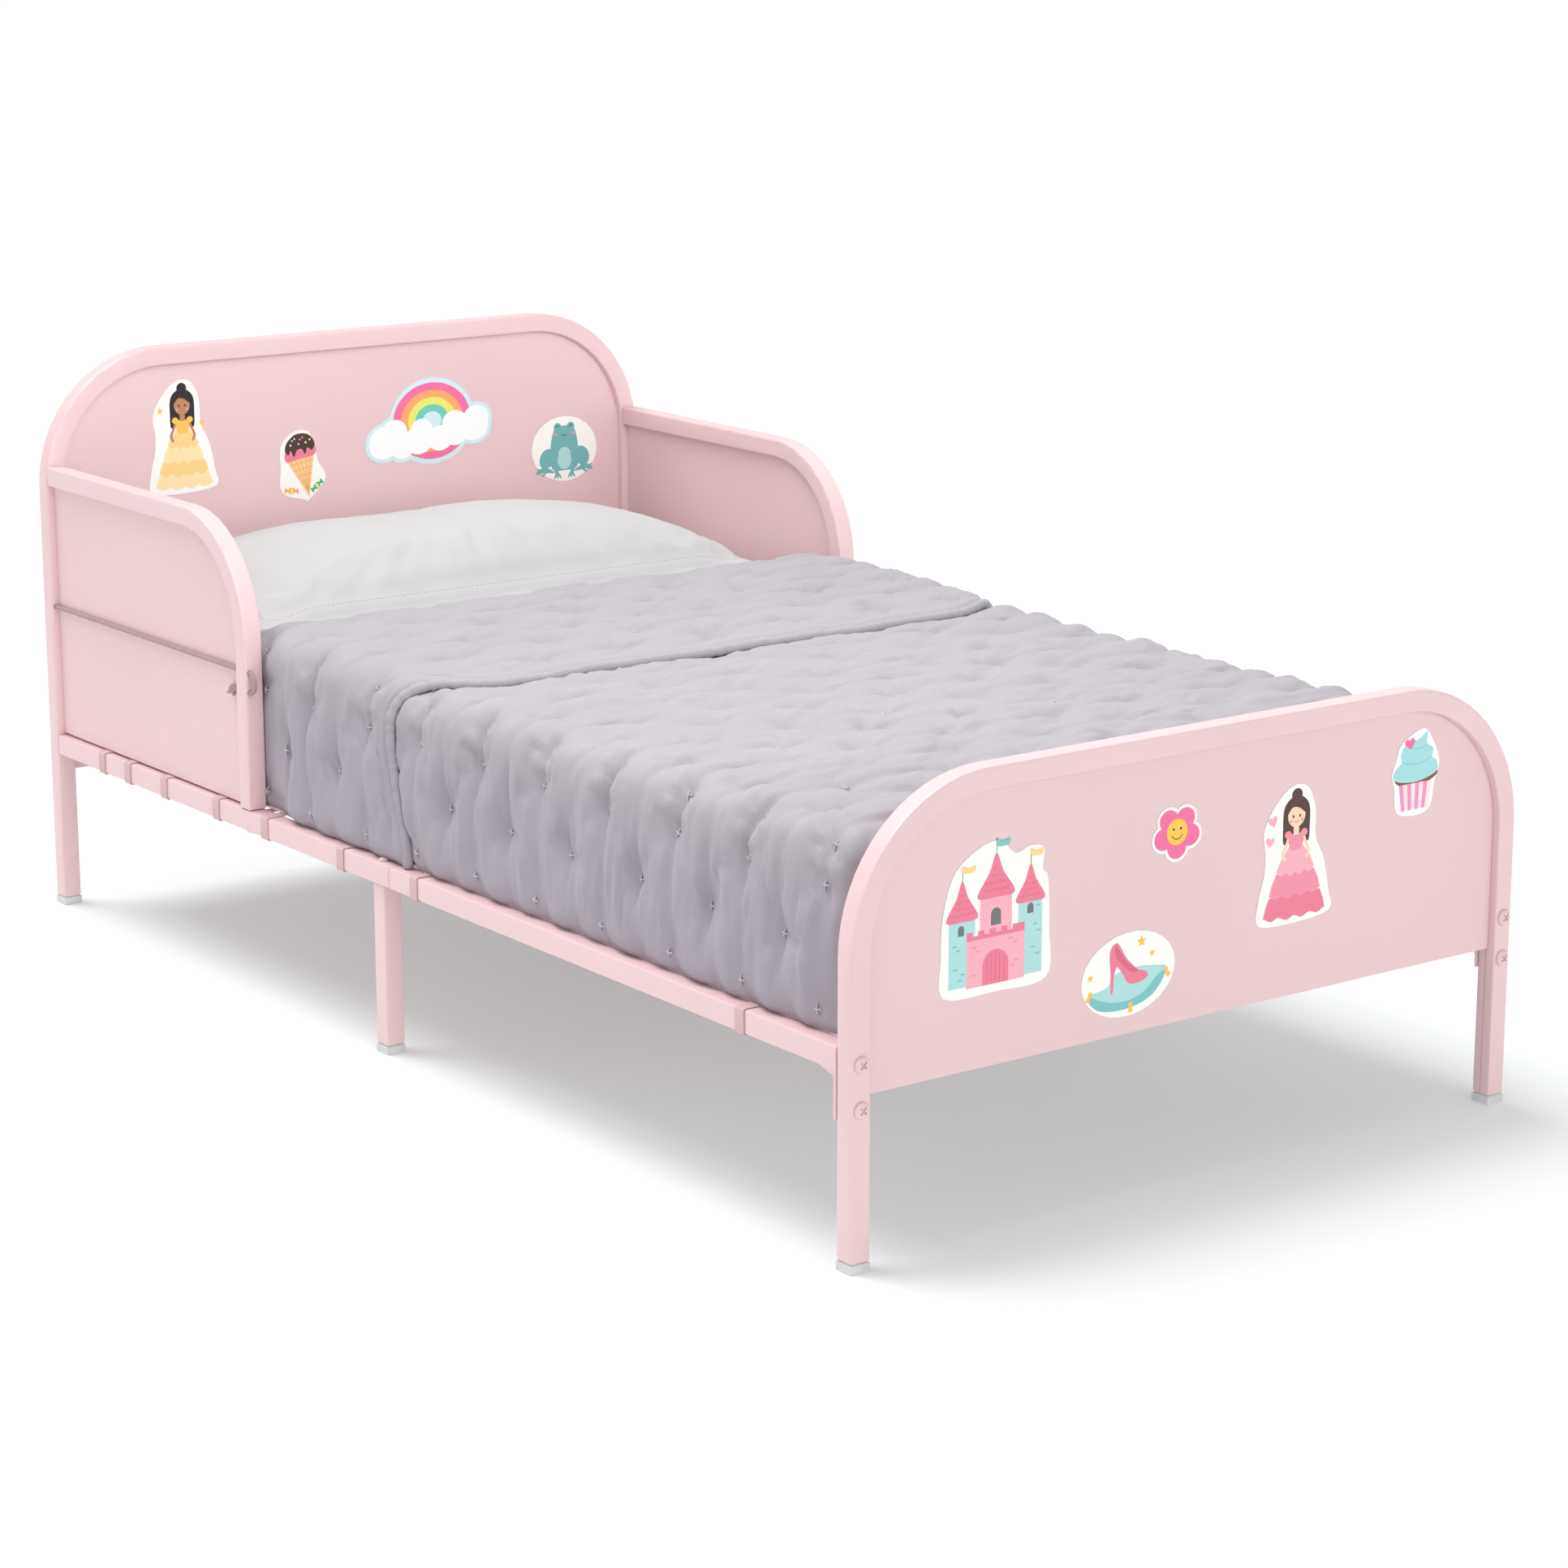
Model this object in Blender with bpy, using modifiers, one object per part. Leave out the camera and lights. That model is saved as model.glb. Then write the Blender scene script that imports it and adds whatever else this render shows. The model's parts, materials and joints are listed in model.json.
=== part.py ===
"""Toddler bed: two arched tube ends with slotted-in panels, sleeved side rails on centre legs,
a strap-held fabric deck, two guard rails laced with a cord, and its bedding.

Origin on the floor under the middle of the bed, +Z up, +Y towards the headboard, X across the bed.
All lengths are in metres.
"""

import math

import bmesh
import bpy
from mathutils import Matrix, Vector
from mathutils.geometry import interpolate_bezier

# Driving dimensions
LENGTH = 1.410  # over the two end frames
WIDTH = 0.750  # over the legs
TUBE = 0.020  # square tube of every frame
WALL = 0.0015  # tube wall
EDGE = 0.0025  # rounding of a tube's long edges
HEAD_HEIGHT = 0.592
FOOT_HEIGHT = 0.402
END_RADIUS = 0.140  # outside radius of the end frames' top corners
GUARD_HEIGHT = 0.476
GUARD_FRONT = 0.268  # foot-facing side of the guard rails, along Y
GUARD_RADIUS = 0.122
RAIL_TOP = 0.188
RAIL_HEIGHT = 0.021
SEAM = 0.005  # joint between the two halves of a side rail, along Y
TONGUE = 0.060  # swaged end of the foot half, inside the head half
CENTRE_LEG = 0.029  # middle of the centre legs, along Y
LEG_INSET = 0.003  # centre legs' outer face behind the rails' outer face

PANEL = 0.004
PANEL_BOTTOM = 0.147
GUARD_PANEL_BOTTOM = 0.1905
SLOT_DEPTH = 0.005
PANEL_GRIP = 0.0045  # how far a panel's edge goes into the slot
GROOVE = (0.0016, 0.0008)  # width and depth of the groove down the legs below a panel

CAP_HEIGHT = 0.008
CAP_PLUG = 0.018
PLATE = 0.003  # end plate of a rail, and the closed end of its head half
PLATE_BOTTOM = 0.126
PLATE_WIDTH = 0.0224
FLARE = (0.022, 0.005)  # length and depth of the weld flare under a rail's end

BOLT_HEIGHTS = (0.176, 0.138)  # at the footboard's legs
HEAD_BOLT = 0.1775  # height of the one bolt at each of the headboard's legs
BOLT_RADIUS = 0.003
BOLT_HEAD = 0.0075
BOLT_HEAD_HEIGHT = 0.0032
PIN_RADIUS = 0.0025
PIN_HEAD = 0.005

CORD_RADIUS = 0.0023
CORD_HEIGHT = 0.327
CORD_RETURN = 0.307  # height of the lower hole
CORD_DEPTH = 0.0045  # cord's middle behind the guard's outer face
CORD_LOOP = 0.011  # how far the loop stands out of the guard's rim
CORD_END = 0.010  # end of the cord inside the headboard post
KNOT_PLACE = 0.0085  # middle of the knot behind the guard's upright
KNOT_HALF = 0.006
KNOT_SWELL = 0.6

STRAP = 0.0125
STRAP_THICKNESS = 0.0012
STRAP_PLACES = (0.581, 0.526, 0.4445, 0.336, 0.2385, 0.091, -0.040, -0.555)
DECK = (0.704, 1.300, 0.0015)

MATTRESS = (0.684, 1.330, 0.148)
SHEET = 0.001
QUILT_SIDE = 0.0095
QUILT_TOP = 0.011
QUILT_HEAD = 0.345  # fold of the turned-back top, along Y
QUILT_HEM = -0.035  # hem of the turned-back layer, along Y
PILLOW = (0.625, 0.300, 0.070)
PILLOW_MIDDLE = 0.519  # along Y
STICKER = 0.0004

GAP = 0.0003  # between pieces that touch
LOOSE = 0.0006  # between soft layers
ARC_STEPS = 16
BOLT_SIDES = 12

# Stickers: name, middle across the bed, middle height, width, height, corner rounding
HEAD_STICKERS = (
    ("sticker_doll_yellow", -0.209, 0.492, 0.084, 0.124, 0.036),
    ("sticker_ice_cream", -0.064, 0.447, 0.061, 0.080, 0.024),
    ("sticker_rainbow", 0.0995, 0.487, 0.167, 0.108, 0.050),
    ("sticker_frog", 0.280, 0.434, 0.090, 0.076, 0.030),
)
FOOT_STICKERS = (
    ("sticker_castle", -0.222, 0.273, 0.118, 0.132, 0.012),
    ("sticker_flower", -0.0264, 0.314, 0.058, 0.052, 0.024),
    ("sticker_doll_pink", 0.1114, 0.273, 0.090, 0.124, 0.036),
    ("sticker_cupcake", 0.2537, 0.326, 0.060, 0.080, 0.026),
    ("sticker_slipper", -0.0774, 0.199, 0.105, 0.074, 0.036),
)

END_FRAME_Y = LENGTH / 2 - TUBE / 2
RAIL_X = WIDTH / 2 - TUBE / 2
RAIL_END = LENGTH / 2 - TUBE - GAP
TUBE_BOTTOM = CAP_HEIGHT + GAP
UPRIGHT = (math.pi / 2, 0, 0)  # an outline drawn in X and Z
SIDEWAYS = (math.pi / 2, 0, math.pi / 2)  # an outline drawn in Y and Z


def clear_scene():
    for obj in list(bpy.data.objects):
        bpy.data.objects.remove(obj, do_unlink=True)


def new_collection(name):
    collection = bpy.data.collections.new(name)
    bpy.context.scene.collection.children.link(collection)
    return collection


def material(name, colour, roughness, metallic=0.0, transmission=0.0):
    made = bpy.data.materials.new(name)
    made.use_nodes = True
    shader = made.node_tree.nodes["Principled BSDF"]
    shader.inputs["Base Color"].default_value = (*colour, 1.0)
    shader.inputs["Roughness"].default_value = roughness
    shader.inputs["Metallic"].default_value = metallic
    shader.inputs["Transmission Weight"].default_value = transmission
    return made


clear_scene()
PARTS = new_collection("toddler_bed")
CUTTERS = new_collection("cutters")

PINK_STEEL = material("pink_powder_coat", (0.84, 0.60, 0.62), 0.38, metallic=0.1)
PINK_BOARD = material("pink_board", (0.84, 0.60, 0.62), 0.45)
PINK_BOLT = material("pink_bolt", (0.80, 0.56, 0.58), 0.35, metallic=0.4)
CLEAR_PLASTIC = material("foot_plastic", (0.62, 0.62, 0.62), 0.35, transmission=0.3)
WEBBING = material("pink_webbing", (0.76, 0.48, 0.50), 0.85)
CORD = material("mauve_cord", (0.38, 0.26, 0.24), 0.8)
WHITE_FABRIC = material("white_cotton", (0.75, 0.75, 0.76), 0.9)
QUILT_FABRIC = material("lavender_quilt", (0.55, 0.51, 0.58), 0.85)
STICKER_FILM = material("sticker_film", (0.90, 0.88, 0.82), 0.5)


def add(name, mesh, finish, place=(0, 0, 0), turn=(0, 0, 0)):
    """One named piece of the bed."""
    obj = bpy.data.objects.new(name, mesh)
    obj.location = place
    obj.rotation_euler = turn
    if finish is None:
        CUTTERS.objects.link(obj)
        obj.hide_render = True
        obj.display_type = "WIRE"
    else:
        PARTS.objects.link(obj)
        if not mesh.materials:
            mesh.materials.append(finish)
    return obj


def box_mesh(name, size):
    bm = bmesh.new()
    bmesh.ops.create_cube(bm, size=1.0, matrix=Matrix.Diagonal((*size, 1.0)))
    mesh = bpy.data.meshes.new(name)
    bm.to_mesh(mesh)
    bm.free()
    return mesh


def box(name, low, high, finish=None):
    """A box between two corners, its origin in its middle."""
    low, high = Vector(low), Vector(high)
    return add(name, box_mesh(name, high - low), finish, (low + high) / 2)


def rod(name, radius, start, end, finish=None, sides=16):
    """A cylinder from start to end."""
    start, end = Vector(start), Vector(end)
    bm = bmesh.new()
    bmesh.ops.create_cone(
        bm, cap_ends=True, segments=sides, radius1=radius, radius2=radius, depth=(end - start).length
    )
    mesh = bpy.data.meshes.new(name)
    bm.to_mesh(mesh)
    bm.free()
    turn = (end - start).to_track_quat("Z", "Y").to_euler()
    return add(name, mesh, finish, (start + end) / 2, turn)


def evaluated_mesh(obj):
    """The object's shape with its modifiers, or a curve's surface, as a welded mesh."""
    bpy.context.view_layer.update()
    graph = bpy.context.evaluated_depsgraph_get()
    mesh = bpy.data.meshes.new_from_object(obj.evaluated_get(graph))
    bm = bmesh.new()
    bm.from_mesh(mesh)
    bmesh.ops.remove_doubles(bm, verts=bm.verts, dist=0.00002)
    bmesh.ops.recalc_face_normals(bm, faces=bm.faces)
    if bm.calc_volume(signed=True) < 0:
        bmesh.ops.reverse_faces(bm, faces=bm.faces)
    bm.to_mesh(mesh)
    bm.free()
    return mesh


def plate_mesh(name, outlines, thickness, merge_flat=True):
    """A flat plate: closed outlines in the plane, the first outermost, extruded both ways."""
    curve = bpy.data.curves.new(name, "CURVE")
    curve.dimensions = "2D"
    curve.fill_mode = "BOTH"
    curve.extrude = thickness / 2
    for outline in outlines:
        spline = curve.splines.new("POLY")
        spline.points.add(len(outline) - 1)
        for point, (x, y) in zip(spline.points, outline):
            point.co = (x, y, 0, 1)
        spline.use_cyclic_u = True
    guide = bpy.data.objects.new(name, curve)
    CUTTERS.objects.link(guide)
    mesh = evaluated_mesh(guide)
    bpy.data.objects.remove(guide)
    if merge_flat:
        bm = bmesh.new()
        bm.from_mesh(mesh)
        bmesh.ops.dissolve_limit(bm, angle_limit=math.radians(1), verts=bm.verts, edges=bm.edges)
        bm.to_mesh(mesh)
        bm.free()
    return mesh


def cut(obj, *cutters):
    for cutter in cutters:
        boolean = obj.modifiers.new("cut_" + cutter.name, "BOOLEAN")
        boolean.operation = "DIFFERENCE"
        boolean.solver = "EXACT"
        boolean.object = cutter
    return obj


def join(obj, *others):
    for other in others:
        boolean = obj.modifiers.new("join_" + other.name, "BOOLEAN")
        boolean.operation = "UNION"
        boolean.solver = "EXACT"
        boolean.object = other
    return obj


def round_edges(obj, width=EDGE, segments=2):
    bevel = obj.modifiers.new("rounded_edges", "BEVEL")
    bevel.width = width
    bevel.segments = segments
    bevel.limit_method = "ANGLE"
    bevel.angle_limit = math.radians(40)
    return obj


def arc(centre, radius, start, end, steps=ARC_STEPS):
    """Points along an arc, both ends included; angles in degrees."""
    points = []
    for step in range(steps + 1):
        angle = math.radians(start + (end - start) * step / steps)
        points.append((centre[0] + radius * math.cos(angle), centre[1] + radius * math.sin(angle)))
    return points


def rounded_rectangle(width, height, radius, middle=(0, 0), steps=4):
    x, y = width / 2 - radius, height / 2 - radius
    points = []
    for quarter, (side_x, side_y) in enumerate(((x, y), (-x, y), (-x, -y), (x, -y))):
        centre = (middle[0] + side_x, middle[1] + side_y)
        points += arc(centre, radius, 90 * quarter, 90 * quarter + 90, steps)
    return points


def door_outline(half_width, top, radius, bottom):
    """An upright shape with two rounded top corners and square bottom corners."""
    right = arc((half_width - radius, top - radius), radius, 0, 90)
    left = arc((radius - half_width, top - radius), radius, 90, 180)
    return [(half_width, bottom), *right, *left, (-half_width, bottom)]


def arch_outline(height, inset, bottom):
    """The section of an end frame: a tube bent into an inverted U, thinned by inset on each side."""
    outside = door_outline(WIDTH / 2 - inset, height - inset, END_RADIUS - inset, bottom)
    inner = TUBE - inset
    inside = door_outline(WIDTH / 2 - inner, height - inner, END_RADIUS - inner, bottom)
    return outside + inside[::-1]


def guard_curve(depth, rear, bottom):
    """One side of a guard rail's bent tube, depth inside its outer edge, from the post to the rail."""
    radius = GUARD_RADIUS - depth
    centre = (GUARD_FRONT + GUARD_RADIUS, GUARD_HEIGHT - GUARD_RADIUS)
    bend = arc(centre, radius, 90, 180)
    return [(rear, GUARD_HEIGHT - depth), *bend, (GUARD_FRONT + depth, bottom)]


def sides():
    return (("left", -1), ("right", 1))


def bolt_levels(end):
    """Name endings and heights of the bolts through one leg; end is the leg's place along Y."""
    return [("", HEAD_BOLT)] if end > 0 else list(zip(("_upper", "_lower"), BOLT_HEIGHTS))


def bolt_meshes():
    """A pan-head bolt and a domed pin, each turned about Z with its head above the origin."""
    meshes = {}
    grip = TUBE + PLATE + 0.009
    for name, radius, head, rise, length, cross in (
        ("frame_bolt", BOLT_RADIUS, BOLT_HEAD, BOLT_HEAD_HEIGHT, grip, True),
        ("guard_bolt", BOLT_RADIUS, BOLT_HEAD, BOLT_HEAD_HEIGHT, TUBE + 0.012, True),
        ("foot_bolt", BOLT_RADIUS, BOLT_HEAD, BOLT_HEAD_HEIGHT, RAIL_HEIGHT + 0.010, True),
        ("rail_pin", PIN_RADIUS, PIN_HEAD, 0.003, RAIL_HEIGHT + 0.008, False),
    ):
        dome = [(head * math.cos(a), rise * (0.25 + 0.75 * math.sin(a))) for a in (0, 0.45, 0.95)]
        profile = [(0, rise), *dome[::-1], (head, 0), (radius, 0), (radius, -length), (0, -length)]
        mesh = bpy.data.meshes.new(name)
        edges = [(i, i + 1) for i in range(len(profile) - 1)]
        mesh.from_pydata([(x, 0, z) for x, z in profile], edges, [])
        turned = bpy.data.objects.new(name, mesh)
        CUTTERS.objects.link(turned)
        screw = turned.modifiers.new("turned", "SCREW")
        screw.steps = screw.render_steps = BOLT_SIDES
        screw.use_merge_vertices = True
        screw.merge_threshold = 0.00005
        recess = []
        if cross:
            for turn in (math.pi / 4, 3 * math.pi / 4):
                bar = box_mesh("recess", (0.0078, 0.0017, 0.0036))
                recess.append(add("recess", bar, None, (0, 0, rise), (0, 0, turn)))
            cut(turned, *recess)
        meshes[name] = evaluated_mesh(turned)
        meshes[name].shade_smooth()
        meshes[name].set_sharp_from_angle(angle=math.radians(35))
        for helper in (turned, *recess):
            bpy.data.objects.remove(helper)
    return meshes


def end_frame(name, height, y, toe):
    """An arched end: legs and top in one bent tube, hollow, slotted inside for its panel.

    A narrow groove carries on down the legs. toe is the direction of the bed's middle along Y.
    """
    mesh = plate_mesh(name, [arch_outline(height, 0, TUBE_BOTTOM)], TUBE)
    frame = round_edges(add(name, mesh, PINK_STEEL, (0, y, 0), UPRIGHT))
    hollow = plate_mesh(name + "_hollow", [arch_outline(height, WALL, -0.01)], TUBE - 2 * WALL)
    inner = TUBE - SLOT_DEPTH
    bottom = PANEL_BOTTOM - GAP
    slot = door_outline(WIDTH / 2 - inner, height - inner, END_RADIUS - inner, bottom)
    slot_mesh = plate_mesh(name + "_slot", [slot], PANEL + 2 * GAP)
    face = WIDTH / 2 - TUBE + GROOVE[1]
    groove = [(face, bottom + 0.001), (-face, bottom + 0.001), (-face, -0.02), (face, -0.02)]
    groove_mesh = plate_mesh(name + "_groove", [groove], GROOVE[0])
    cut(
        frame,
        add(name + "_hollow", hollow, None, (0, y, 0), UPRIGHT),
        add(name + "_slot", slot_mesh, None, (0, y, 0), UPRIGHT),
        add(name + "_groove", groove_mesh, None, (0, y, 0), UPRIGHT),
    )
    grip = TUBE - PANEL_GRIP
    board = door_outline(WIDTH / 2 - grip, height - grip, END_RADIUS - grip, PANEL_BOTTOM)
    panel_name = name.replace("frame", "panel")
    add(panel_name, plate_mesh(panel_name, [board], PANEL), PINK_BOARD, (0, y, 0), UPRIGHT)
    for side, sign in sides():
        for level, z in bolt_levels(y):
            start = (sign * RAIL_X, y - toe * TUBE, z)
            end = (sign * RAIL_X, y + toe * TUBE, z)
            cut(frame, rod(f"{name}_{side}{level}_hole", BOLT_RADIUS + GAP, start, end))
    return frame


def foot_cap(name, x, y):
    """A plastic cap with a plug that goes up into the tube."""
    half = TUBE / 2 + 0.0003
    cap = box(name, (x - half, y - half, 0), (x + half, y + half, CAP_HEIGHT), CLEAR_PLASTIC)
    round_edges(cap, 0.0012, 2)
    plug = TUBE / 2 - WALL - GAP
    top = CAP_HEIGHT + CAP_PLUG
    join(cap, box(name + "_plug", (x - plug, y - plug, 0.004), (x + plug, y + plug, top)))


def end_plate(name, sign, end):
    """Helpers that join on to a rail's foot end: its welded plate and the flare under it."""
    x = sign * RAIL_X
    inner = end - math.copysign(PLATE, end)
    low, high = sorted((inner, end))
    half = PLATE_WIDTH / 2
    plate = box(name + "_plate", (x - half, low, PLATE_BOTTOM), (x + half, high, RAIL_TOP))
    round_edges(plate, 0.001, 1)
    bottom = RAIL_TOP - RAIL_HEIGHT
    back = inner - math.copysign(FLARE[0], end)
    web = [(inner, bottom + 0.001), (inner, bottom - FLARE[1]), (back, bottom + 0.001)]
    web[0] = (inner + math.copysign(0.001, end), web[0][1])
    web[1] = (inner + math.copysign(0.001, end), web[1][1])
    flare_mesh = plate_mesh(name + "_flare", [web], TUBE - 0.001)
    return plate, add(name + "_flare", flare_mesh, None, (x, 0, 0), SIDEWAYS)


def weld_nuts(name, sign, end):
    """A nut on the inner face of a rail's closed end for each bolt that comes through its leg."""
    x = sign * RAIL_X
    outside = end - math.copysign(PLATE / 2, end)
    inside = end - math.copysign(PLATE + 0.005, end)
    return [
        rod(f"{name}{level}_nut", 0.0052, (x, outside, z), (x, inside, z), sides=6)
        for level, z in bolt_levels(end)
    ]


def side_rail(side, sign):
    """Both halves of one side rail; the foot half's swaged tongue slides into the head half."""
    x, half, bottom = sign * RAIL_X, TUBE / 2, RAIL_TOP - RAIL_HEIGHT
    bore = half - WALL
    for part, near, far in (("head", SEAM + GAP, RAIL_END), ("foot", SEAM, -RAIL_END)):
        name = f"side_rail_{part}_half_{side}"
        low, high = sorted((near, far))
        rail = box(name, (x - half, low, bottom), (x + half, high, RAIL_TOP), PINK_STEEL)
        round_edges(rail, 0.002, 2)
        plate_face = far - math.copysign(PLATE, far)
        mouth = SEAM - 0.01 if part == "head" else SEAM - 0.004
        low, high = sorted((mouth, plate_face))
        hollow = (x - bore, low, bottom + WALL), (x + bore, high, RAIL_TOP - WALL)
        if part == "foot":
            slim = bore - GAP
            tongue = box(
                name + "_tongue",
                (x - slim, SEAM - 0.003, bottom + WALL + GAP),
                (x + slim, SEAM + TONGUE, RAIL_TOP - WALL - GAP),
            )
            join(rail, tongue)
        if part == "foot":
            join(rail, *end_plate(name, sign, far))
        cut(rail, box(name + "_hollow", *hollow))
        if part == "foot":
            core = slim - WALL
            z_core = WALL + GAP + WALL
            throat = box(
                name + "_throat",
                (x - core, SEAM - 0.006, bottom + z_core),
                (x + core, SEAM + TONGUE + 0.01, RAIL_TOP - z_core),
            )
            cut(rail, throat)
        join(rail, *weld_nuts(name, sign, far))
        for level, z in bolt_levels(far):
            start, end = (x, far + math.copysign(0.01, far), z), (x, far - math.copysign(0.02, far), z)
            cut(rail, rod(f"{name}{level}_hole", BOLT_RADIUS + GAP, start, end))
        pin_hole = (x, CENTRE_LEG, bottom - 0.01), (x, CENTRE_LEG, RAIL_TOP + 0.01)
        cut(rail, rod(name + "_pin_hole", PIN_RADIUS + GAP, *pin_hole))
        if part == "head":
            y = GUARD_FRONT + TUBE / 2
            guard_hole = (x, y, bottom - 0.01), (x, y, RAIL_TOP + 0.01)
            cut(rail, rod(name + "_guard_hole", BOLT_RADIUS + GAP, *guard_hole))


def centre_leg(side, sign):
    x = sign * (RAIL_X - LEG_INSET)
    half, top = TUBE / 2, RAIL_TOP - RAIL_HEIGHT - GAP
    name = f"centre_leg_{side}"
    low = (x - half, CENTRE_LEG - half, TUBE_BOTTOM)
    leg = box(name, low, (x + half, CENTRE_LEG + half, top), PINK_STEEL)
    round_edges(leg)
    bore = half - WALL
    end_wall = 0.005
    hollow = box(
        name + "_hollow",
        (x - bore, CENTRE_LEG - bore, -0.01),
        (x + bore, CENTRE_LEG + bore, top - end_wall),
    )
    pin_x = sign * RAIL_X
    hole = (pin_x, CENTRE_LEG, top - 0.02), (pin_x, CENTRE_LEG, top + 0.01)
    cut(leg, hollow, rod(name + "_hole", PIN_RADIUS + GAP, *hole))
    foot_cap(f"foot_cap_centre_{side}", x, CENTRE_LEG)


def centre_cross_bar():
    """The tube between the two side rails, level with them at the centre legs."""
    half = TUBE / 2
    reach = RAIL_X - half - GAP
    low = (-reach, CENTRE_LEG - half, RAIL_TOP - TUBE)
    bar = box("centre_cross_bar", low, (reach, CENTRE_LEG + half, RAIL_TOP), PINK_STEEL)
    round_edges(bar)
    bore = half - WALL
    middle = RAIL_TOP - half
    hollow = box(
        "centre_cross_bar_hollow",
        (-reach - 0.01, CENTRE_LEG - bore, middle - bore),
        (reach + 0.01, CENTRE_LEG + bore, middle + bore),
    )
    cut(bar, hollow)


def guard_rail(side, sign):
    """A bent tube from the headboard post to the side rail, with a panel in its slot."""
    x = sign * RAIL_X
    name = f"guard_frame_{side}"
    rear, foot, plug = RAIL_END, RAIL_TOP + GAP, 0.004
    outline = guard_curve(0, rear, foot) + guard_curve(TUBE, rear, foot)[::-1]
    frame = add(name, plate_mesh(name, [outline], TUBE), PINK_STEEL, (x, 0, 0), SIDEWAYS)
    round_edges(frame)
    core_ends = rear - plug, foot + plug
    core = guard_curve(WALL, *core_ends) + guard_curve(TUBE - WALL, *core_ends)[::-1]
    core_mesh = plate_mesh(name + "_hollow", [core], TUBE - 2 * WALL)
    slot_side = TUBE - SLOT_DEPTH
    slot = [*guard_curve(slot_side, rear + 0.01, foot - 0.02), (rear + 0.01, foot - 0.02)]
    slot_mesh = plate_mesh(name + "_slot", [slot], PANEL + 2 * GAP)
    cut(
        frame,
        add(name + "_hollow", core_mesh, None, (x, 0, 0), SIDEWAYS),
        add(name + "_slot", slot_mesh, None, (x, 0, 0), SIDEWAYS),
    )
    y = GUARD_FRONT + TUBE / 2
    z = GUARD_HEIGHT - TUBE / 2
    foot_hole = rod(name + "_foot_hole", BOLT_RADIUS + GAP, (x, y, foot - 0.01), (x, y, foot + 0.02))
    post_hole = rod(name + "_post_hole", BOLT_RADIUS + GAP, (x, rear + 0.01, z), (x, rear - 0.02, z))
    cut(frame, foot_hole, post_hole)
    cord_x = sign * (WIDTH / 2 - CORD_DEPTH)
    for level, height in (("upper", CORD_HEIGHT), ("lower", CORD_RETURN)):
        start, end = (cord_x, GUARD_FRONT - 0.01, height), (cord_x, GUARD_FRONT + TUBE + 0.01, height)
        cut(frame, rod(f"{name}_{level}_cord_hole", CORD_RADIUS + GAP, start, end, sides=12))
    grip = TUBE - PANEL_GRIP
    board = [*guard_curve(grip, rear, GUARD_PANEL_BOTTOM), (rear, GUARD_PANEL_BOTTOM)]
    panel_name = f"guard_panel_{side}"
    add(panel_name, plate_mesh(panel_name, [board], PANEL), PINK_BOARD, (x, 0, 0), SIDEWAYS)


def smooth_route(points, per_span):
    """A smooth curve through the route's points; each handle is a third of its own span."""
    route = []
    count = len(points)
    for i in range(count - 1):
        before, after = points[max(i - 1, 0)], points[min(i + 2, count - 1)]
        start, end = points[i], points[i + 1]
        reach = (end - start).length / 3
        handle_a = start + reach * (end - before).normalized()
        handle_b = end - reach * (after - start).normalized()
        route += interpolate_bezier(start, handle_a, handle_b, end, per_span + 1)[:-1]
    return [*route, points[-1]]


def cord_route(sign):
    """From inside the headboard post, taut to the guard's upright, out, down and back to its knot."""
    x = sign * (WIDTH / 2 - CORD_DEPTH)
    rim, rear = GUARD_FRONT, GUARD_FRONT + TUBE
    post = LENGTH / 2 - TUBE
    middle = (CORD_HEIGHT + CORD_RETURN) / 2
    heights = (CORD_HEIGHT, CORD_RETURN)
    straight = [(x, post + CORD_END, heights[0]), (x, post, heights[0]), (x, (post + rear) / 2, heights[0])]
    straight += [(x, rear, heights[0]), (x, rim, heights[0])]
    loop = [
        (x, rim - 0.5 * CORD_LOOP, heights[0] - 0.0008),
        (x, rim - 0.95 * CORD_LOOP, heights[0] - 0.0055),
        (x, rim - CORD_LOOP, middle),
        (x, rim - 0.95 * CORD_LOOP, heights[1] + 0.0055),
        (x, rim - 0.5 * CORD_LOOP, heights[1] + 0.0008),
    ]
    knot_x = x + sign * 0.001
    back = [(x, rim, heights[1]), (x, rear, heights[1])]
    back += [(knot_x, rear + KNOT_PLACE, heights[1] - 0.001), (x, rear + KNOT_PLACE + 0.014, heights[1] - 0.006)]
    return [Vector(point) for point in straight + loop + back]


def guard_cord(side, sign):
    """The lacing cord, swelling into the knot that stops it behind the guard's upright."""
    name = f"guard_cord_{side}"
    curve = bpy.data.curves.new(name, "CURVE")
    curve.dimensions = "3D"
    curve.bevel_depth = CORD_RADIUS
    curve.bevel_resolution = 2
    curve.use_fill_caps = True
    route = smooth_route(cord_route(sign), 4)
    knot_y = GUARD_FRONT + TUBE + KNOT_PLACE
    spline = curve.splines.new("POLY")
    spline.points.add(len(route) - 1)
    for point, place in zip(spline.points, route):
        point.co = (*place, 1)
        near = 1 - ((place.y - knot_y) / KNOT_HALF) ** 2
        if place.z < (CORD_HEIGHT + CORD_RETURN) / 2:
            point.radius = 1 + KNOT_SWELL * max(0, near)
    guide = bpy.data.objects.new(name, curve)
    CUTTERS.objects.link(guide)
    mesh = evaluated_mesh(guide)
    bpy.data.objects.remove(guide)
    add(name, mesh, CORD)


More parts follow.
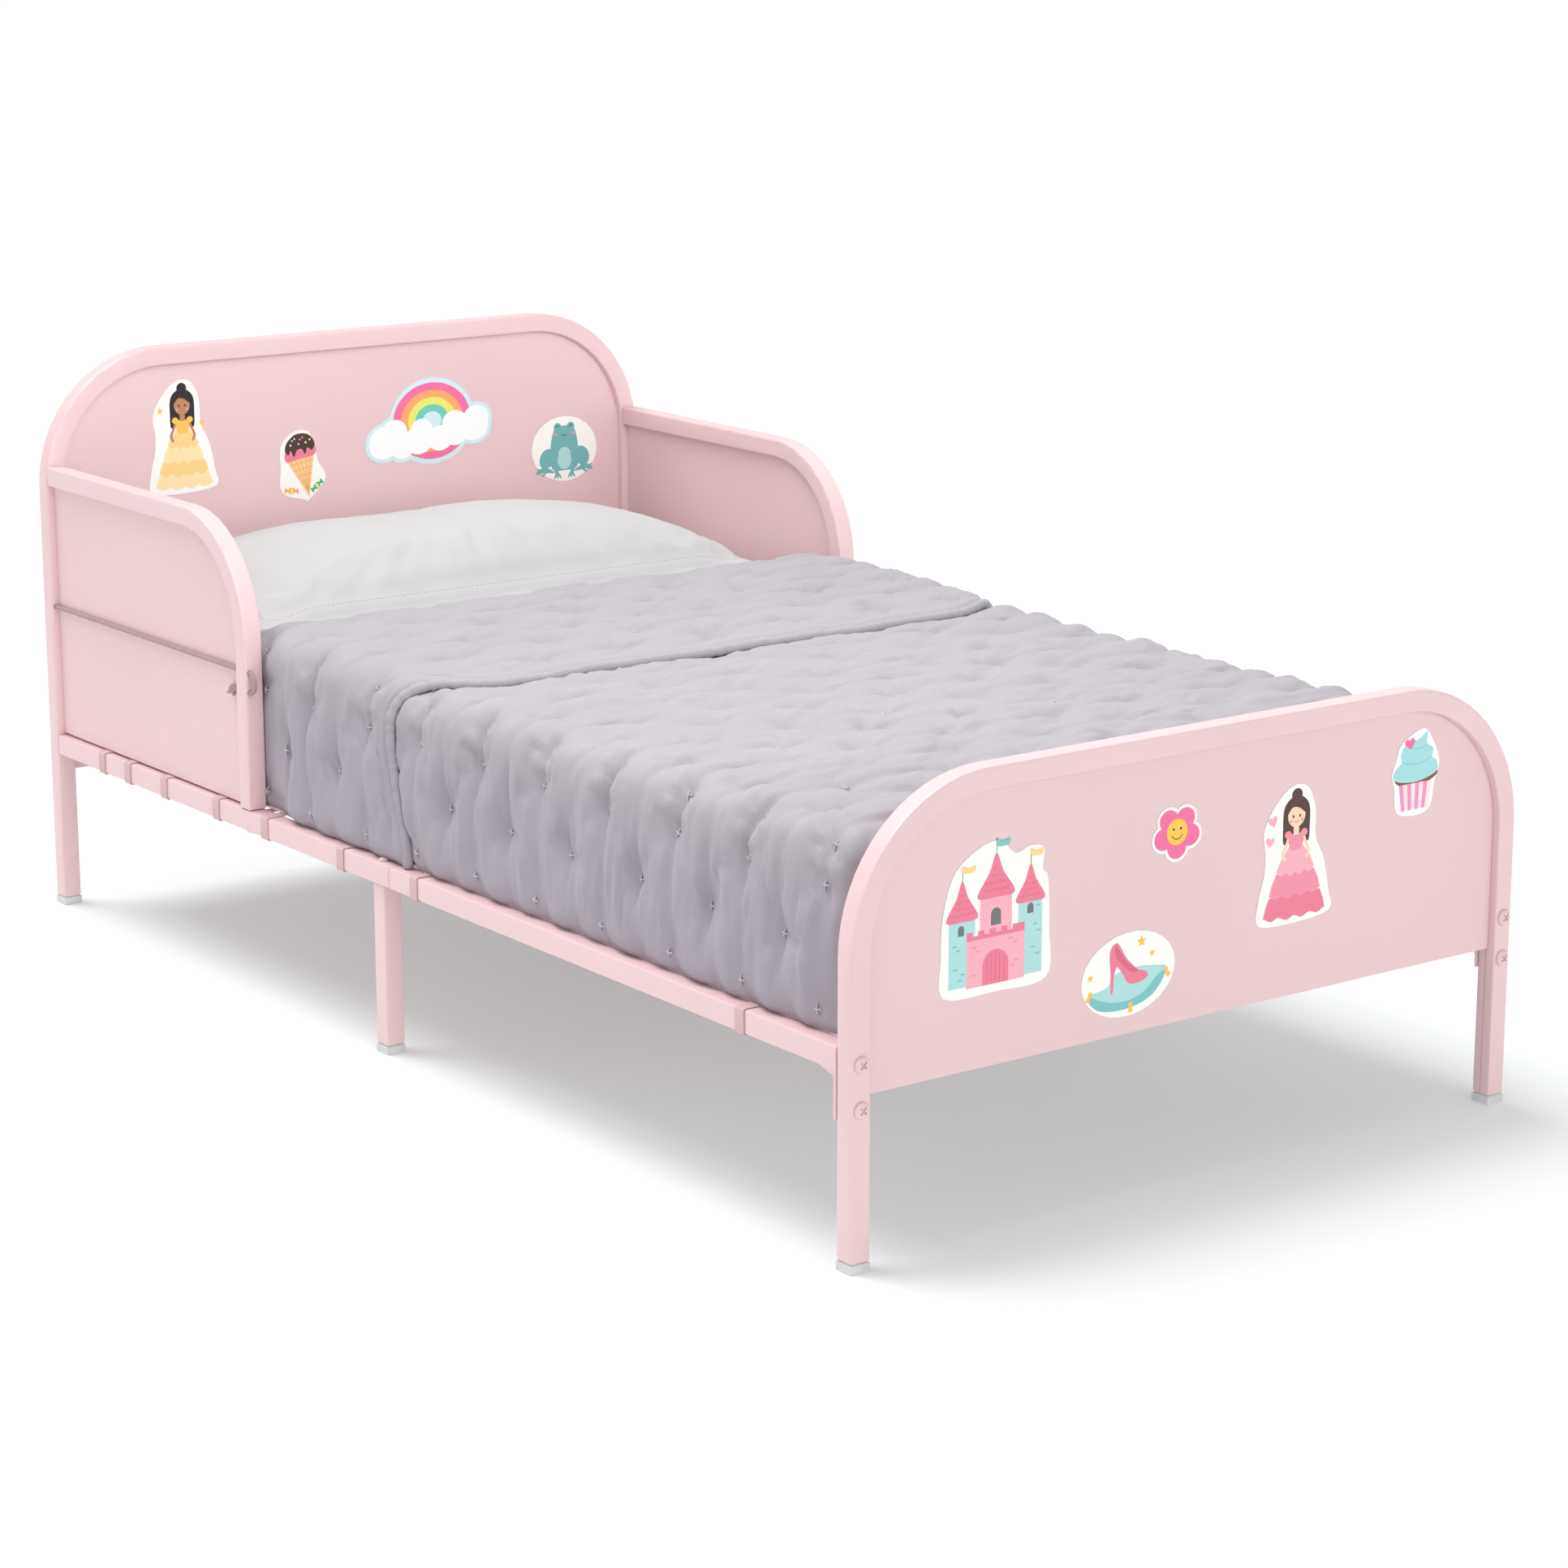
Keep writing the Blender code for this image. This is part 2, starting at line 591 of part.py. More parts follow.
def webbing_strap(number, y):
    """A flat band looped round both side rails."""
    name = f"deck_strap_{number}"
    bottom, reach = RAIL_TOP - RAIL_HEIGHT, WIDTH / 2 + GAP
    middle = (0, RAIL_TOP - RAIL_HEIGHT / 2)
    height = RAIL_TOP - bottom + 2 * GAP
    grow = 2 * STRAP_THICKNESS
    inside = rounded_rectangle(2 * reach, height, 0.0018, middle, 3)
    outside = rounded_rectangle(2 * reach + grow, height + grow, 0.0030, middle, 3)
    mesh = plate_mesh(name, [outside, inside], STRAP, merge_flat=False)
    add(name, mesh, WEBBING, (0, y, 0), UPRIGHT)


def mattress_support():
    for number, y in enumerate(STRAP_PLACES, 1):
        webbing_strap(number, y)
    bottom = RAIL_TOP + STRAP_THICKNESS + 2 * GAP
    x, y = DECK[0] / 2, DECK[1] / 2
    box("fabric_deck", (-x, -y, bottom), (x, y, bottom + DECK[2]), WEBBING)
    return bottom + DECK[2]


def bedding(deck_top):
    """Mattress, fitted sheet, quilt with its turned-back top, and pillow."""
    x, y, height = MATTRESS[0] / 2, MATTRESS[1] / 2, MATTRESS[2]
    bottom = deck_top + GAP
    top = bottom + height
    mattress = box("mattress", (-x, -y, bottom), (x, y, top), WHITE_FABRIC)
    round_edges(mattress, 0.020, 3)

    layer = GAP + SHEET
    low, high = (-x - layer, -y - layer, bottom - 0.05), (x + layer, y + layer, top + layer)
    sheet = round_edges(box("fitted_sheet", low, high, WHITE_FABRIC), 0.020 + layer, 3)
    sheet_space = box("sheet_space", (-x - GAP, -y - GAP, bottom - 0.1), (x + GAP, y + GAP, top + GAP))
    below = box("below_the_sheet", (-1, -1, bottom - 0.2), (1, 1, bottom + 0.004))
    cut(sheet, round_edges(sheet_space, 0.020 + GAP, 3), below)

    inner_x, inner_y = x + layer + LOOSE, y + layer + LOOSE
    inner_top = top + layer + LOOSE
    quilt_top = inner_top + QUILT_TOP
    side = inner_x + QUILT_SIDE
    end = -inner_y - QUILT_TOP
    quilt = box("quilt", (-side, end, bottom + 0.002), (side, QUILT_HEAD, quilt_top), QUILT_FABRIC)
    round_edges(quilt, 0.0055, 2)
    turned_back = box(
        "quilt_turned_back",
        (-side + 0.004, QUILT_HEM, quilt_top - 0.004),
        (side - 0.004, QUILT_HEAD - 0.001, quilt_top + QUILT_TOP),
    )
    quilt_space = box(
        "quilt_space", (-inner_x, -inner_y, bottom - 0.05), (inner_x, QUILT_HEAD + 0.05, inner_top)
    )
    join(quilt, round_edges(turned_back, 0.005, 2))
    cut(quilt, round_edges(quilt_space, 0.020 + layer, 3))

    pillow_bottom = top + layer + GAP
    half_x, half_y = PILLOW[0] / 2, PILLOW[1] / 2
    pillow = box(
        "pillow",
        (-half_x, PILLOW_MIDDLE - half_y, pillow_bottom),
        (half_x, PILLOW_MIDDLE + half_y, pillow_bottom + PILLOW[2]),
        WHITE_FABRIC,
    )
    round_edges(pillow, 0.034, 4)


def fasteners():
    meshes = bolt_meshes()
    back_turn, front_turn = (-math.pi / 2, 0, 0), (math.pi / 2, 0, 0)
    for side, sign in sides():
        x = sign * RAIL_X
        for end, face, turn in (("head", LENGTH / 2, back_turn), ("foot", -LENGTH / 2, front_turn)):
            for level, z in bolt_levels(face):
                place = (x, face + math.copysign(GAP, face), z)
                add(f"frame_bolt_{end}_{side}{level}", meshes["frame_bolt"], PINK_BOLT, place, turn)
        place = (x, LENGTH / 2 + GAP, GUARD_HEIGHT - TUBE / 2)
        add(f"guard_bolt_post_{side}", meshes["guard_bolt"], PINK_BOLT, place, back_turn)
        place = (x, GUARD_FRONT + TUBE / 2, RAIL_TOP - RAIL_HEIGHT - GAP)
        add(f"guard_bolt_foot_{side}", meshes["foot_bolt"], PINK_BOLT, place, (math.pi, 0, 0))
        place = (x, CENTRE_LEG, RAIL_TOP + GAP)
        add(f"rail_pin_{side}", meshes["rail_pin"], PINK_BOLT, place)


def stickers():
    head_face = LENGTH / 2 - TUBE / 2 - PANEL / 2 - GAP - STICKER / 2
    foot_face = -(LENGTH / 2 - TUBE / 2 + PANEL / 2 + GAP + STICKER / 2)
    for face, group in ((head_face, HEAD_STICKERS), (foot_face, FOOT_STICKERS)):
        for name, x, z, width, height, rounding in group:
            outline = rounded_rectangle(width, height, rounding)
            add(name, plate_mesh(name, [outline], STICKER), STICKER_FILM, (x, face, z), UPRIGHT)


def build():
    headboard = end_frame("headboard_frame", HEAD_HEIGHT, END_FRAME_Y, -1)
    end_frame("footboard_frame", FOOT_HEIGHT, -END_FRAME_Y, 1)
    for side, sign in sides():
        x = sign * RAIL_X
        z = GUARD_HEIGHT - TUBE / 2
        through = (x, LENGTH / 2 - 2 * TUBE, z), (x, LENGTH / 2 + TUBE, z)
        cord_x = sign * (WIDTH / 2 - CORD_DEPTH)
        into = (cord_x, LENGTH / 2 - 2 * TUBE, CORD_HEIGHT), (cord_x, LENGTH / 2 - TUBE / 2, CORD_HEIGHT)
        cut(
            headboard,
            rod(f"headboard_guard_hole_{side}", BOLT_RADIUS + GAP, *through),
            rod(f"headboard_cord_hole_{side}", CORD_RADIUS + GAP, *into, sides=12),
        )
        foot_cap(f"foot_cap_head_{side}", x, END_FRAME_Y)
        foot_cap(f"foot_cap_foot_{side}", x, -END_FRAME_Y)
        side_rail(side, sign)
        centre_leg(side, sign)
        guard_rail(side, sign)
        guard_cord(side, sign)
    centre_cross_bar()
    fasteners()
    bedding(mattress_support())
    stickers()


build()
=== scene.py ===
import json
import math

import bmesh
import bpy
import numpy as np
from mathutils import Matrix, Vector, kdtree, noise
from mathutils.geometry import interpolate_bezier


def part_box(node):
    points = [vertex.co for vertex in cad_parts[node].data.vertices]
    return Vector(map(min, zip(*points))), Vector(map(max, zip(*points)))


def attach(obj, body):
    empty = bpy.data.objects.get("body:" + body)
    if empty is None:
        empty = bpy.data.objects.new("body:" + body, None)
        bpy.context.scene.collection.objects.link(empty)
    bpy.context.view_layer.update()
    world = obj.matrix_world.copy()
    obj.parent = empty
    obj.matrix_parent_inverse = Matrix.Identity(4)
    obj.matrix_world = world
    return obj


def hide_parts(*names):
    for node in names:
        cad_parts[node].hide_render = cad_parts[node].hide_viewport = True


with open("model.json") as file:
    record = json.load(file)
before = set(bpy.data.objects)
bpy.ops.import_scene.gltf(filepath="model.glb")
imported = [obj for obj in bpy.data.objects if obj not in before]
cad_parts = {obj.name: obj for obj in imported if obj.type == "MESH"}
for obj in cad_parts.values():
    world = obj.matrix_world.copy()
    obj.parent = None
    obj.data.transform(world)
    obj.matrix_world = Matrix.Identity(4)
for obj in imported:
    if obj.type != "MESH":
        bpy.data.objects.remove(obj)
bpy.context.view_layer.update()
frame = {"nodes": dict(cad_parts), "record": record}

# Looks of the toddler bed: finishes for the steel frame and boards, and the soft goods, cords and
# stickers made as meshes in the places that the CAD nodes hold. Lengths are in metres.

NODES = frame["nodes"]
MM = 0.001

# Camera
CAMERA_PLACE = (-2.2062, -3.0865, 1.142)
CAMERA_HEADING = 36.537  # degrees from +Y towards +X
CAMERA_PITCH = 13.742  # degrees below the horizon
CAMERA_LENS = 91.1  # millimetres, on a sensor 36 mm wide

# Light
SKY = 0.65
SUNS = {  # strength, softness in degrees across, and where it comes from
    "key": (2.0, 36, (-0.20, 0.38, 0.90)),
    "front": (0.90, 50, (-0.06, -0.99, 0.12)),
}
HEAD_FILL = 6.2  # watts, a soft box over the bed that lights the headboard
HEAD_FILL_PLACE = (-0.25, -0.45, 1.25)
HEAD_FILL_AIM = (0, 0.7, 0.45)
HEAD_FILL_SIZE = 0.9
FLOOR_HALF = 60.0
FLOOR_GREY = (0.67, 0.70, 0.70)
FLOOR_GLOW = 0.21

# Colours, linear
PINK = (0.81, 0.585, 0.60)
PINK_STRAP = (0.74, 0.49, 0.505)
DECK_PINK = (0.70, 0.63, 0.635)
CAP_GREY = (0.86, 0.86, 0.865)
CORD_MAUVE = (0.38, 0.27, 0.255)
TICKING = (0.74, 0.74, 0.72)
WHITE = (0.515, 0.515, 0.517)
LILAC = (0.395, 0.370, 0.402)
LILAC_THREAD = (0.50, 0.47, 0.515)


# ---------------------------------------------------------------- scene: camera, light, floor


def link(obj):
    bpy.context.scene.collection.objects.link(obj)
    return obj


def make_camera():
    data = bpy.data.cameras.new("camera")
    data.lens = CAMERA_LENS
    data.clip_end = 4 * FLOOR_HALF
    camera = link(bpy.data.objects.new("camera", data))
    camera.location = CAMERA_PLACE
    tilt = math.radians(90 - CAMERA_PITCH)
    camera.rotation_euler = (tilt, 0, -math.radians(CAMERA_HEADING))
    bpy.context.scene.camera = camera


def make_lamp(kind, name, energy, towards):
    data = bpy.data.lights.new(name, kind)
    data.energy = energy
    lamp = link(bpy.data.objects.new(name, data))
    lamp.rotation_euler = Vector(towards).to_track_quat("Z", "Y").to_euler()
    return lamp


def make_light():
    world = bpy.data.worlds.new("studio")
    bpy.context.scene.world = world
    world.use_nodes = True
    background = world.node_tree.nodes["Background"]
    background.inputs["Color"].default_value = (1, 1, 1, 1)
    background.inputs["Strength"].default_value = SKY
    for name, (energy, softness, origin) in SUNS.items():
        make_lamp("SUN", name, energy, origin).data.angle = math.radians(softness)
    fill = make_lamp("AREA", "head_fill", HEAD_FILL, Vector(HEAD_FILL_PLACE) - Vector(HEAD_FILL_AIM))
    fill.data.size = HEAD_FILL_SIZE
    fill.location = HEAD_FILL_PLACE
    bpy.context.scene.view_settings.view_transform = "Standard"


def make_floor():
    mesh = bpy.data.meshes.new("floor")
    bm = bmesh.new()
    bmesh.ops.create_grid(bm, x_segments=4, y_segments=4, size=FLOOR_HALF)
    bm.to_mesh(mesh)
    bm.free()
    floor = link(bpy.data.objects.new("floor", mesh))
    finish = Finish("studio_floor", FLOOR_GREY, 0.9, Emission_Strength=FLOOR_GLOW)
    finish.set("Emission Color", (1, 1, 1, 1))
    finish.tint(finish.noise(3.0, 3.0), 0.01)
    mesh.materials.append(finish.material)


# ---------------------------------------------------------------- materials


class Finish:
    """A material on one Principled shader, with the few node patterns that the bed uses."""

    def __init__(self, name, colour, roughness, **sockets):
        self.material = bpy.data.materials.new(name)
        self.material.use_nodes = True
        self.tree = self.material.node_tree
        self.shader = self.tree.nodes["Principled BSDF"]
        self.colour = colour
        self.roughness = roughness
        self.set("Base Color", (*colour, 1.0))
        self.set("Roughness", roughness)
        for socket, value in sockets.items():
            self.set(socket.replace("_", " "), value)
        self.place = self.node("ShaderNodeTexCoord").outputs["Object"]

    def set(self, socket, value):
        self.shader.inputs[socket].default_value = value

    def node(self, kind, inputs=(), **properties):
        made = self.tree.nodes.new(kind)
        for name, value in properties.items():
            setattr(made, name, value)
        for socket, value in dict(inputs).items():
            if isinstance(value, bpy.types.NodeSocket):
                self.tree.links.new(value, made.inputs[socket])
            else:
                made.inputs[socket].default_value = value
        return made

    def noise(self, scale, detail=2.0, stretch=None):
        place = self.place
        if stretch:
            place = self.node("ShaderNodeMapping", {"Vector": place, "Scale": stretch}).outputs[0]
        inputs = {"Vector": place, "Scale": scale, "Detail": detail}
        return self.node("ShaderNodeTexNoise", inputs).outputs["Fac"]

    def bands(self, scale, direction, distortion=0.4):
        inputs = {"Vector": self.place, "Scale": scale, "Distortion": distortion}
        return self.node("ShaderNodeTexWave", inputs, bands_direction=direction).outputs["Fac"]

    def weave(self, scale):
        """Threads crossing at right angles, whichever way the surface faces."""
        x, y, z = (self.bands(scale, axis) for axis in "XYZ")
        total = 0.0
        for pair in ((x, y), (y, z), (z, x)):
            crossed = self.node("ShaderNodeMath", dict(enumerate(pair)), operation="MULTIPLY").outputs[0]
            total = self.node("ShaderNodeMath", {0: total, 1: crossed}, operation="ADD").outputs[0]
        return total

    def tint(self, pattern, amount):
        """Varies the colour by the pattern, either way by the amount."""
        ramp = self.node("ShaderNodeValToRGB", {"Fac": pattern})
        for stop, place, way in zip(ramp.color_ramp.elements, (0.3, 0.7), (-1, 1)):
            stop.position = place
            stop.color = (*(min(1.0, c * (1 + way * amount)) for c in self.colour), 1)
        self.tree.links.new(ramp.outputs["Color"], self.shader.inputs["Base Color"])

    def painted_shade_below(self, low, high, painted_shade):
        """Painted shade: multiplies the colour by a darker tone below a height, in full at low and not at
        all at high.
        """
        height = self.node("ShaderNodeSeparateXYZ", {"Vector": self.place}).outputs["Z"]
        share = self.node("ShaderNodeMapRange", {"Value": height, "From Min": low, "From Max": high})
        ramp = self.node("ShaderNodeValToRGB", {"Fac": share.outputs["Result"]})
        ramp.color_ramp.elements[0].color = (*painted_shade, 1)
        socket = self.shader.inputs["Base Color"]
        inputs = {0: socket.links[0].from_socket, 1: ramp.outputs["Color"]}
        made = self.node("ShaderNodeVectorMath", inputs, operation="MULTIPLY")
        self.tree.links.new(made.outputs[0], socket)

    def polish(self, pattern, amount):
        """Varies the roughness by the pattern."""
        inputs = {"Value": pattern, "To Min": self.roughness - amount, "To Max": self.roughness + amount}
        made = self.node("ShaderNodeMapRange", inputs)
        self.tree.links.new(made.outputs["Result"], self.shader.inputs["Roughness"])

    def relief(self, pattern, depth, strength=1.0):
        """A bump of that depth in metres, laid over any that is there already."""
        inputs = {"Height": pattern, "Distance": depth, "Strength": strength}
        normal = self.shader.inputs["Normal"]
        if normal.is_linked:
            inputs["Normal"] = normal.links[0].from_socket
        bump = self.node("ShaderNodeBump", inputs)
        self.tree.links.new(bump.outputs["Normal"], normal)


def noise_finish(name, colour, roughness, tint, polish, reliefs, painted_shade=None, **sockets):
    """A finish made of noise: each pattern is its scale, its detail and, last, how it is stretched.

    Between them stands how much a tint or polish varies, or a relief's depth and strength.
    """
    finish = Finish(name, colour, roughness, **sockets)
    scale, detail, amount, *stretch = tint
    finish.tint(finish.noise(scale, detail, *stretch), amount)
    # Painted shade, where given: a darker tone below a height, for the shade that falls on lower faces.
    if painted_shade:
        finish.painted_shade_below(*painted_shade)
    if polish:
        scale, detail, amount, *stretch = polish
        finish.polish(finish.noise(scale, detail, *stretch), amount)
    for scale, detail, depth, strength, *stretch in reliefs:
        finish.relief(finish.noise(scale, detail, *stretch), depth, strength)
    return finish.material


def powder_coat(name, colour, roughness=0.36):
    """Satin powder coat: a fine orange peel, and faint patches in colour and gloss."""
    looks = {"Specular_IOR_Level": 0.5, "Coat_Weight": 0.12, "Coat_Roughness": 0.25}
    tint, polish, peel = (9, 3, 0.018), (60, 3, 0.05), (900, 2, 0.00006, 0.5)
    return noise_finish(name, colour, roughness, tint, polish, [peel], **looks)


def lacquered_board(name, colour):
    """Painted board: smoother than the steel, with a long, very faint roller texture."""
    tint, polish, roller = (4, 3, 0.015), (30, 3, 0.05, (1, 1, 6)), (420, 3, 0.00008, 0.4, (1, 1, 2.5))
    return noise_finish(name, colour, 0.46, tint, polish, [roller], Specular_IOR_Level=0.45)


def cap_plastic():
    """Milky moulded plastic."""
    looks = {"Transmission_Weight": 0.35, "IOR": 1.46}
    tint, polish, grain = (160, 2, 0.03), (300, 2, 0.06), (700, 2, 0.00005, 0.5)
    return noise_finish("cap_plastic", CAP_GREY, 0.32, tint, polish, [grain], **looks)


def cotton(name, colour, threads, crease):
    """Plain-weave cloth: threads, small creases and a soft sheen."""
    looks = {"Sheen_Weight": 0.12, "Sheen_Roughness": 0.5, "Specular_IOR_Level": 0.25}
    reliefs = [(38, 4, crease, 0.35), (threads, 2, 0.00008, 0.4)]
    return noise_finish(name, colour, 0.88, (14, 4, 0.02), (90, 3, 0.05), reliefs, **looks)


def quilted_cotton():
    """Washed cotton over wadding: fine creases that run across the bed and down its sides, and painted shade
    that darkens the sides below the top.
    """
    looks = {"Sheen_Weight": 0.15, "Sheen_Roughness": 0.45, "Specular_IOR_Level": 0.25}
    # Painted shade: the sides darkened, with a purple cast, from 0.345 m high down to 0.300 m, for the shade
    # that falls on them.
    tint, painted_shade = (11, 4, 0.025, (0.6, 1, 0.6)), (0.300, 0.345, (0.94, 0.895, 0.945))
    reliefs = [(60, 5, 0.0028, 0.55, (0.16, 1, 0.16)), (170, 3, 0.0005, 0.35, (0.35, 1, 0.35))]
    reliefs.append((1500, 2, 0.00008, 0.4))
    return noise_finish("quilt_cotton", LILAC, 0.85, tint, (90, 3, 0.05), reliefs, painted_shade, **looks)


def webbing_weave():
    """Ribbed woven band: ribs across the bed's length and fine threads between them."""
    finish = Finish("webbing_weave", PINK_STRAP, 0.8, Sheen_Weight=0.2, Sheen_Roughness=0.5)
    ribs = finish.bands(260.0, "Y")
    finish.tint(ribs, 0.06)
    finish.relief(ribs, 0.00025, 0.7)
    finish.relief(finish.weave(700.0), 0.00012, 0.6)
    return finish.material


def cord_braid():
    looks = {"Sheen_Weight": 0.25, "Sheen_Roughness": 0.4}
    tint, fibres = (700, 3, 0.14, (1, 0.25, 1)), (2400, 2, 0.00012, 0.6, (1, 0.2, 1))
    return noise_finish("cord_braid", CORD_MAUVE, 0.72, tint, None, [fibres], **looks)


def quilting_thread():
    tint, fibres = (900, 2, 0.08), (3000, 2, 0.00008, 0.6)
    return noise_finish("quilt_thread", LILAC_THREAD, 0.6, tint, None, [fibres], Sheen_Weight=0.3)


# ---------------------------------------------------------------- mesh helpers


def make_piece(name, points, faces, material, body, slot, replaces=()):
    """A mesh in the row frame, its normals made consistent, riding on a body."""
    mesh = bpy.data.meshes.new(name)
    mesh.from_pydata([tuple(p) for p in points], [], [tuple(f) for f in faces])
    bm = bmesh.new()
    bm.from_mesh(mesh)
    bmesh.ops.recalc_face_normals(bm, faces=bm.faces)
    bm.to_mesh(mesh)
    bm.free()
    mesh.shade_smooth()
    mesh.materials.append(material)
    obj = link(bpy.data.objects.new(name, mesh))
    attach(obj, body)
    if replaces:
        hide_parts(*replaces)
    return obj


def smooth_normals(node, sharp_angle=32):
    """Shades a faceted CAD node as the rounded solid it stands for; its points stay as they are."""
    mesh = node.data
    points = np.empty(len(mesh.vertices) * 3)
    mesh.vertices.foreach_get("co", points)
    _, place = np.unique(np.round(points.reshape(-1, 3), 6), axis=0, return_inverse=True)
    corner_point = np.empty(len(mesh.loops), int)
    mesh.loops.foreach_get("vertex_index", corner_point)
    sizes = np.array([p.loop_total for p in mesh.polygons])
    normals = np.repeat(np.array([p.normal[:] for p in mesh.polygons]), sizes, axis=0)
    areas = np.repeat(np.array([p.area for p in mesh.polygons]), sizes)
    corner_place = place.reshape(-1)[corner_point]
    order = np.argsort(corner_place, kind="stable")
    starts = np.flatnonzero(np.diff(corner_place[order])) + 1
    smooth = normals.copy()
    for group in np.split(order, starts):
        own = normals[group]
        alike = (own @ own.T) > math.cos(math.radians(sharp_angle))
        mixed = alike @ (own * (areas[group, None] + 1e-12))
        smooth[group] = mixed / np.maximum(np.linalg.norm(mixed, axis=1), 1e-12)[:, None]
    mesh.shade_smooth()
    mesh.normals_split_custom_set([tuple(n) for n in smooth])


def finish_cad_nodes():
    finishes = {
        "pink_steel": powder_coat("pink_powder_coat", PINK),
        "pink_board": lacquered_board("pink_lacquer", PINK),
        "pink_fastener": powder_coat("pink_bolt_coat", tuple(c * 0.96 for c in PINK), 0.30),
        "foot_plastic": cap_plastic(),
    }
    slots = {part["node"]: part["material_slot"] for part in frame["record"]["subparts"]}
    for name, node in NODES.items():
        if slots[name] in finishes:
            smooth_normals(node)
            node.data.materials.clear()
            node.data.materials.append(finishes[slots[name]])


def grid_faces(width, rows):
    """Quads between the points of a grid, which stand row by row."""
    corners = ((0, 0), (0, 1), (1, 1), (1, 0))
    return [
        tuple((r + down) * width + c + right for down, right in corners)
        for r in range(rows - 1)
        for c in range(width - 1)
    ]


def boundary_edges(faces):
    """The directed edges that only one face has."""
    seen = {}
    for face in faces:
        for edge in zip(face, face[1:] + face[:1]):
            if not seen.pop(edge[::-1], False):
                seen[edge] = True
    return list(seen)


def thick_sheet(upper, lower, faces):
    """A closed sheet from two skins with the same faces; returns its points and faces."""
    count = len(upper)
    points = np.concatenate([upper, lower])
    under = [tuple(i + count for i in face[::-1]) for face in faces]
    rims = [(b, a, a + count, b + count) for a, b in boundary_edges(faces)]
    return points, [*faces, *under, *rims]


# ---------------------------------------------------------------- cloth simulation


def relax(points, faces, pinned, pressure, frames, most, growth, bending):
    """Runs cloth over an open or closed skin and returns its points, none moved further than most."""
    mesh = bpy.data.meshes.new("cloth_run")
    mesh.from_pydata([tuple(p) for p in points], [], faces)
    cloth = link(bpy.data.objects.new("cloth_run", mesh))
    pins = cloth.vertex_groups.new(name="pins")
    pins.add([int(i) for i in pinned], 1.0, "REPLACE")
    modifier = cloth.modifiers.new("cloth", "CLOTH")
    settings = modifier.settings
    settings.quality = 5
    settings.mass = 0.2
    settings.tension_stiffness = settings.compression_stiffness = 12
    settings.shear_stiffness = 4
    settings.bending_stiffness = bending
    settings.vertex_group_mass = "pins"
    settings.use_pressure = True
    settings.uniform_pressure_force = pressure
    settings.shrink_min = -growth
    settings.effector_weights.gravity = 0
    modifier.collision_settings.use_collision = False
    modifier.collision_settings.use_self_collision = False
    modifier.point_cache.frame_start = 1
    modifier.point_cache.frame_end = frames
    scene = bpy.context.scene
    for step in range(1, frames + 1):
        scene.frame_set(step)
    moved = cloth.evaluated_get(bpy.context.evaluated_depsgraph_get()).data
    result = np.empty(len(points) * 3)
    moved.vertices.foreach_get("co", result)
    bpy.data.objects.remove(cloth)
    scene.frame_set(1)
    shift = result.reshape(-1, 3) - points
    length = np.linalg.norm(shift, axis=1)
    return points + shift * np.minimum(1, most / np.maximum(length, 1e-9))[:, None]


# ---------------------------------------------------------------- rounded-box cages


def even(start, end, step):
    count = max(1, round(abs(end - start) / step))
    return list(np.linspace(start, end, count + 1))


def axis_places(low, high, step, round_low=True, round_high=True, turns=4):
    """Cage places along one axis: even between low and high, and on past them over rounded edges.

    The ones past an edge turn into equal steps of angle once a Shell has rounded it.
    """
    past = [EDGE_RADIUS * math.tan(math.radians(45 * k / turns)) for k in range(1, turns + 1)]
    before = [low - d for d in reversed(past)] if round_low else []
    return before + even(low, high, step) + ([high + d for d in past] if round_high else [])


class Shell:
    """Offsets of a box with rounded edges: every cage point keeps its core point and its direction."""

    def __init__(self, cage, low, high):
        self.core = np.clip(cage, low, high)
        out = cage - self.core
        self.out = out / np.maximum(np.linalg.norm(out, axis=1), 1e-9)[:, None]

    def at(self, offset):
        return self.core + self.out * (EDGE_RADIUS + np.asarray(offset))[:, None]


def smooth_noise(points, scale, octaves=2, seed=0.0):
    """Fractal noise from -1 to 1 at each point."""
    shift = Vector((seed, -seed, 2 * seed))
    return np.array([noise.fractal(Vector(p * scale) + shift, 0.6, 2.0, octaves) for p in points])


def box_cage(xs, ys, zs, sides):
    """A box's points and faces as grids that share their edge points; its sides are T, B, L, R, F and H."""
    keys, faces = {}, []
    nx, ny, nz = len(xs) - 1, len(ys) - 1, len(zs) - 1
    grids = {
        "T": (nx, ny, lambda a, b: (a, b, nz)),
        "B": (nx, ny, lambda a, b: (a, b, 0)),
        "L": (ny, nz, lambda a, b: (0, a, b)),
        "R": (ny, nz, lambda a, b: (nx, a, b)),
        "F": (nx, nz, lambda a, b: (a, 0, b)),
        "H": (nx, nz, lambda a, b: (a, ny, b)),
    }
    for side in sides:
        width, height, corner = grids[side]
        for a in range(width):
            for b in range(height):
                ring = (corner(a, b), corner(a + 1, b), corner(a + 1, b + 1), corner(a, b + 1))
                quad = tuple(keys.setdefault(key, len(keys)) for key in ring)
                faces.append(quad if side in "TRF" else quad[::-1])
    return np.array([(xs[i], ys[j], zs[k]) for i, j, k in keys]), faces


# ---------------------------------------------------------------- mattress, sheet, deck, straps


MATTRESS_LOW, MATTRESS_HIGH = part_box("mattress")
EDGE_RADIUS = 0.022  # rounding of the mattress's edges
PIPING_RADIUS = 0.0022
SHEET_CLOTH = 0.0007
CORE_LOW = np.array(MATTRESS_LOW) + EDGE_RADIUS
CORE_HIGH = np.array(MATTRESS_HIGH) - EDGE_RADIUS


def mattress_places(*steps):
    return [axis_places(low, high, step) for low, high, step in zip(CORE_LOW, CORE_HIGH, steps)]


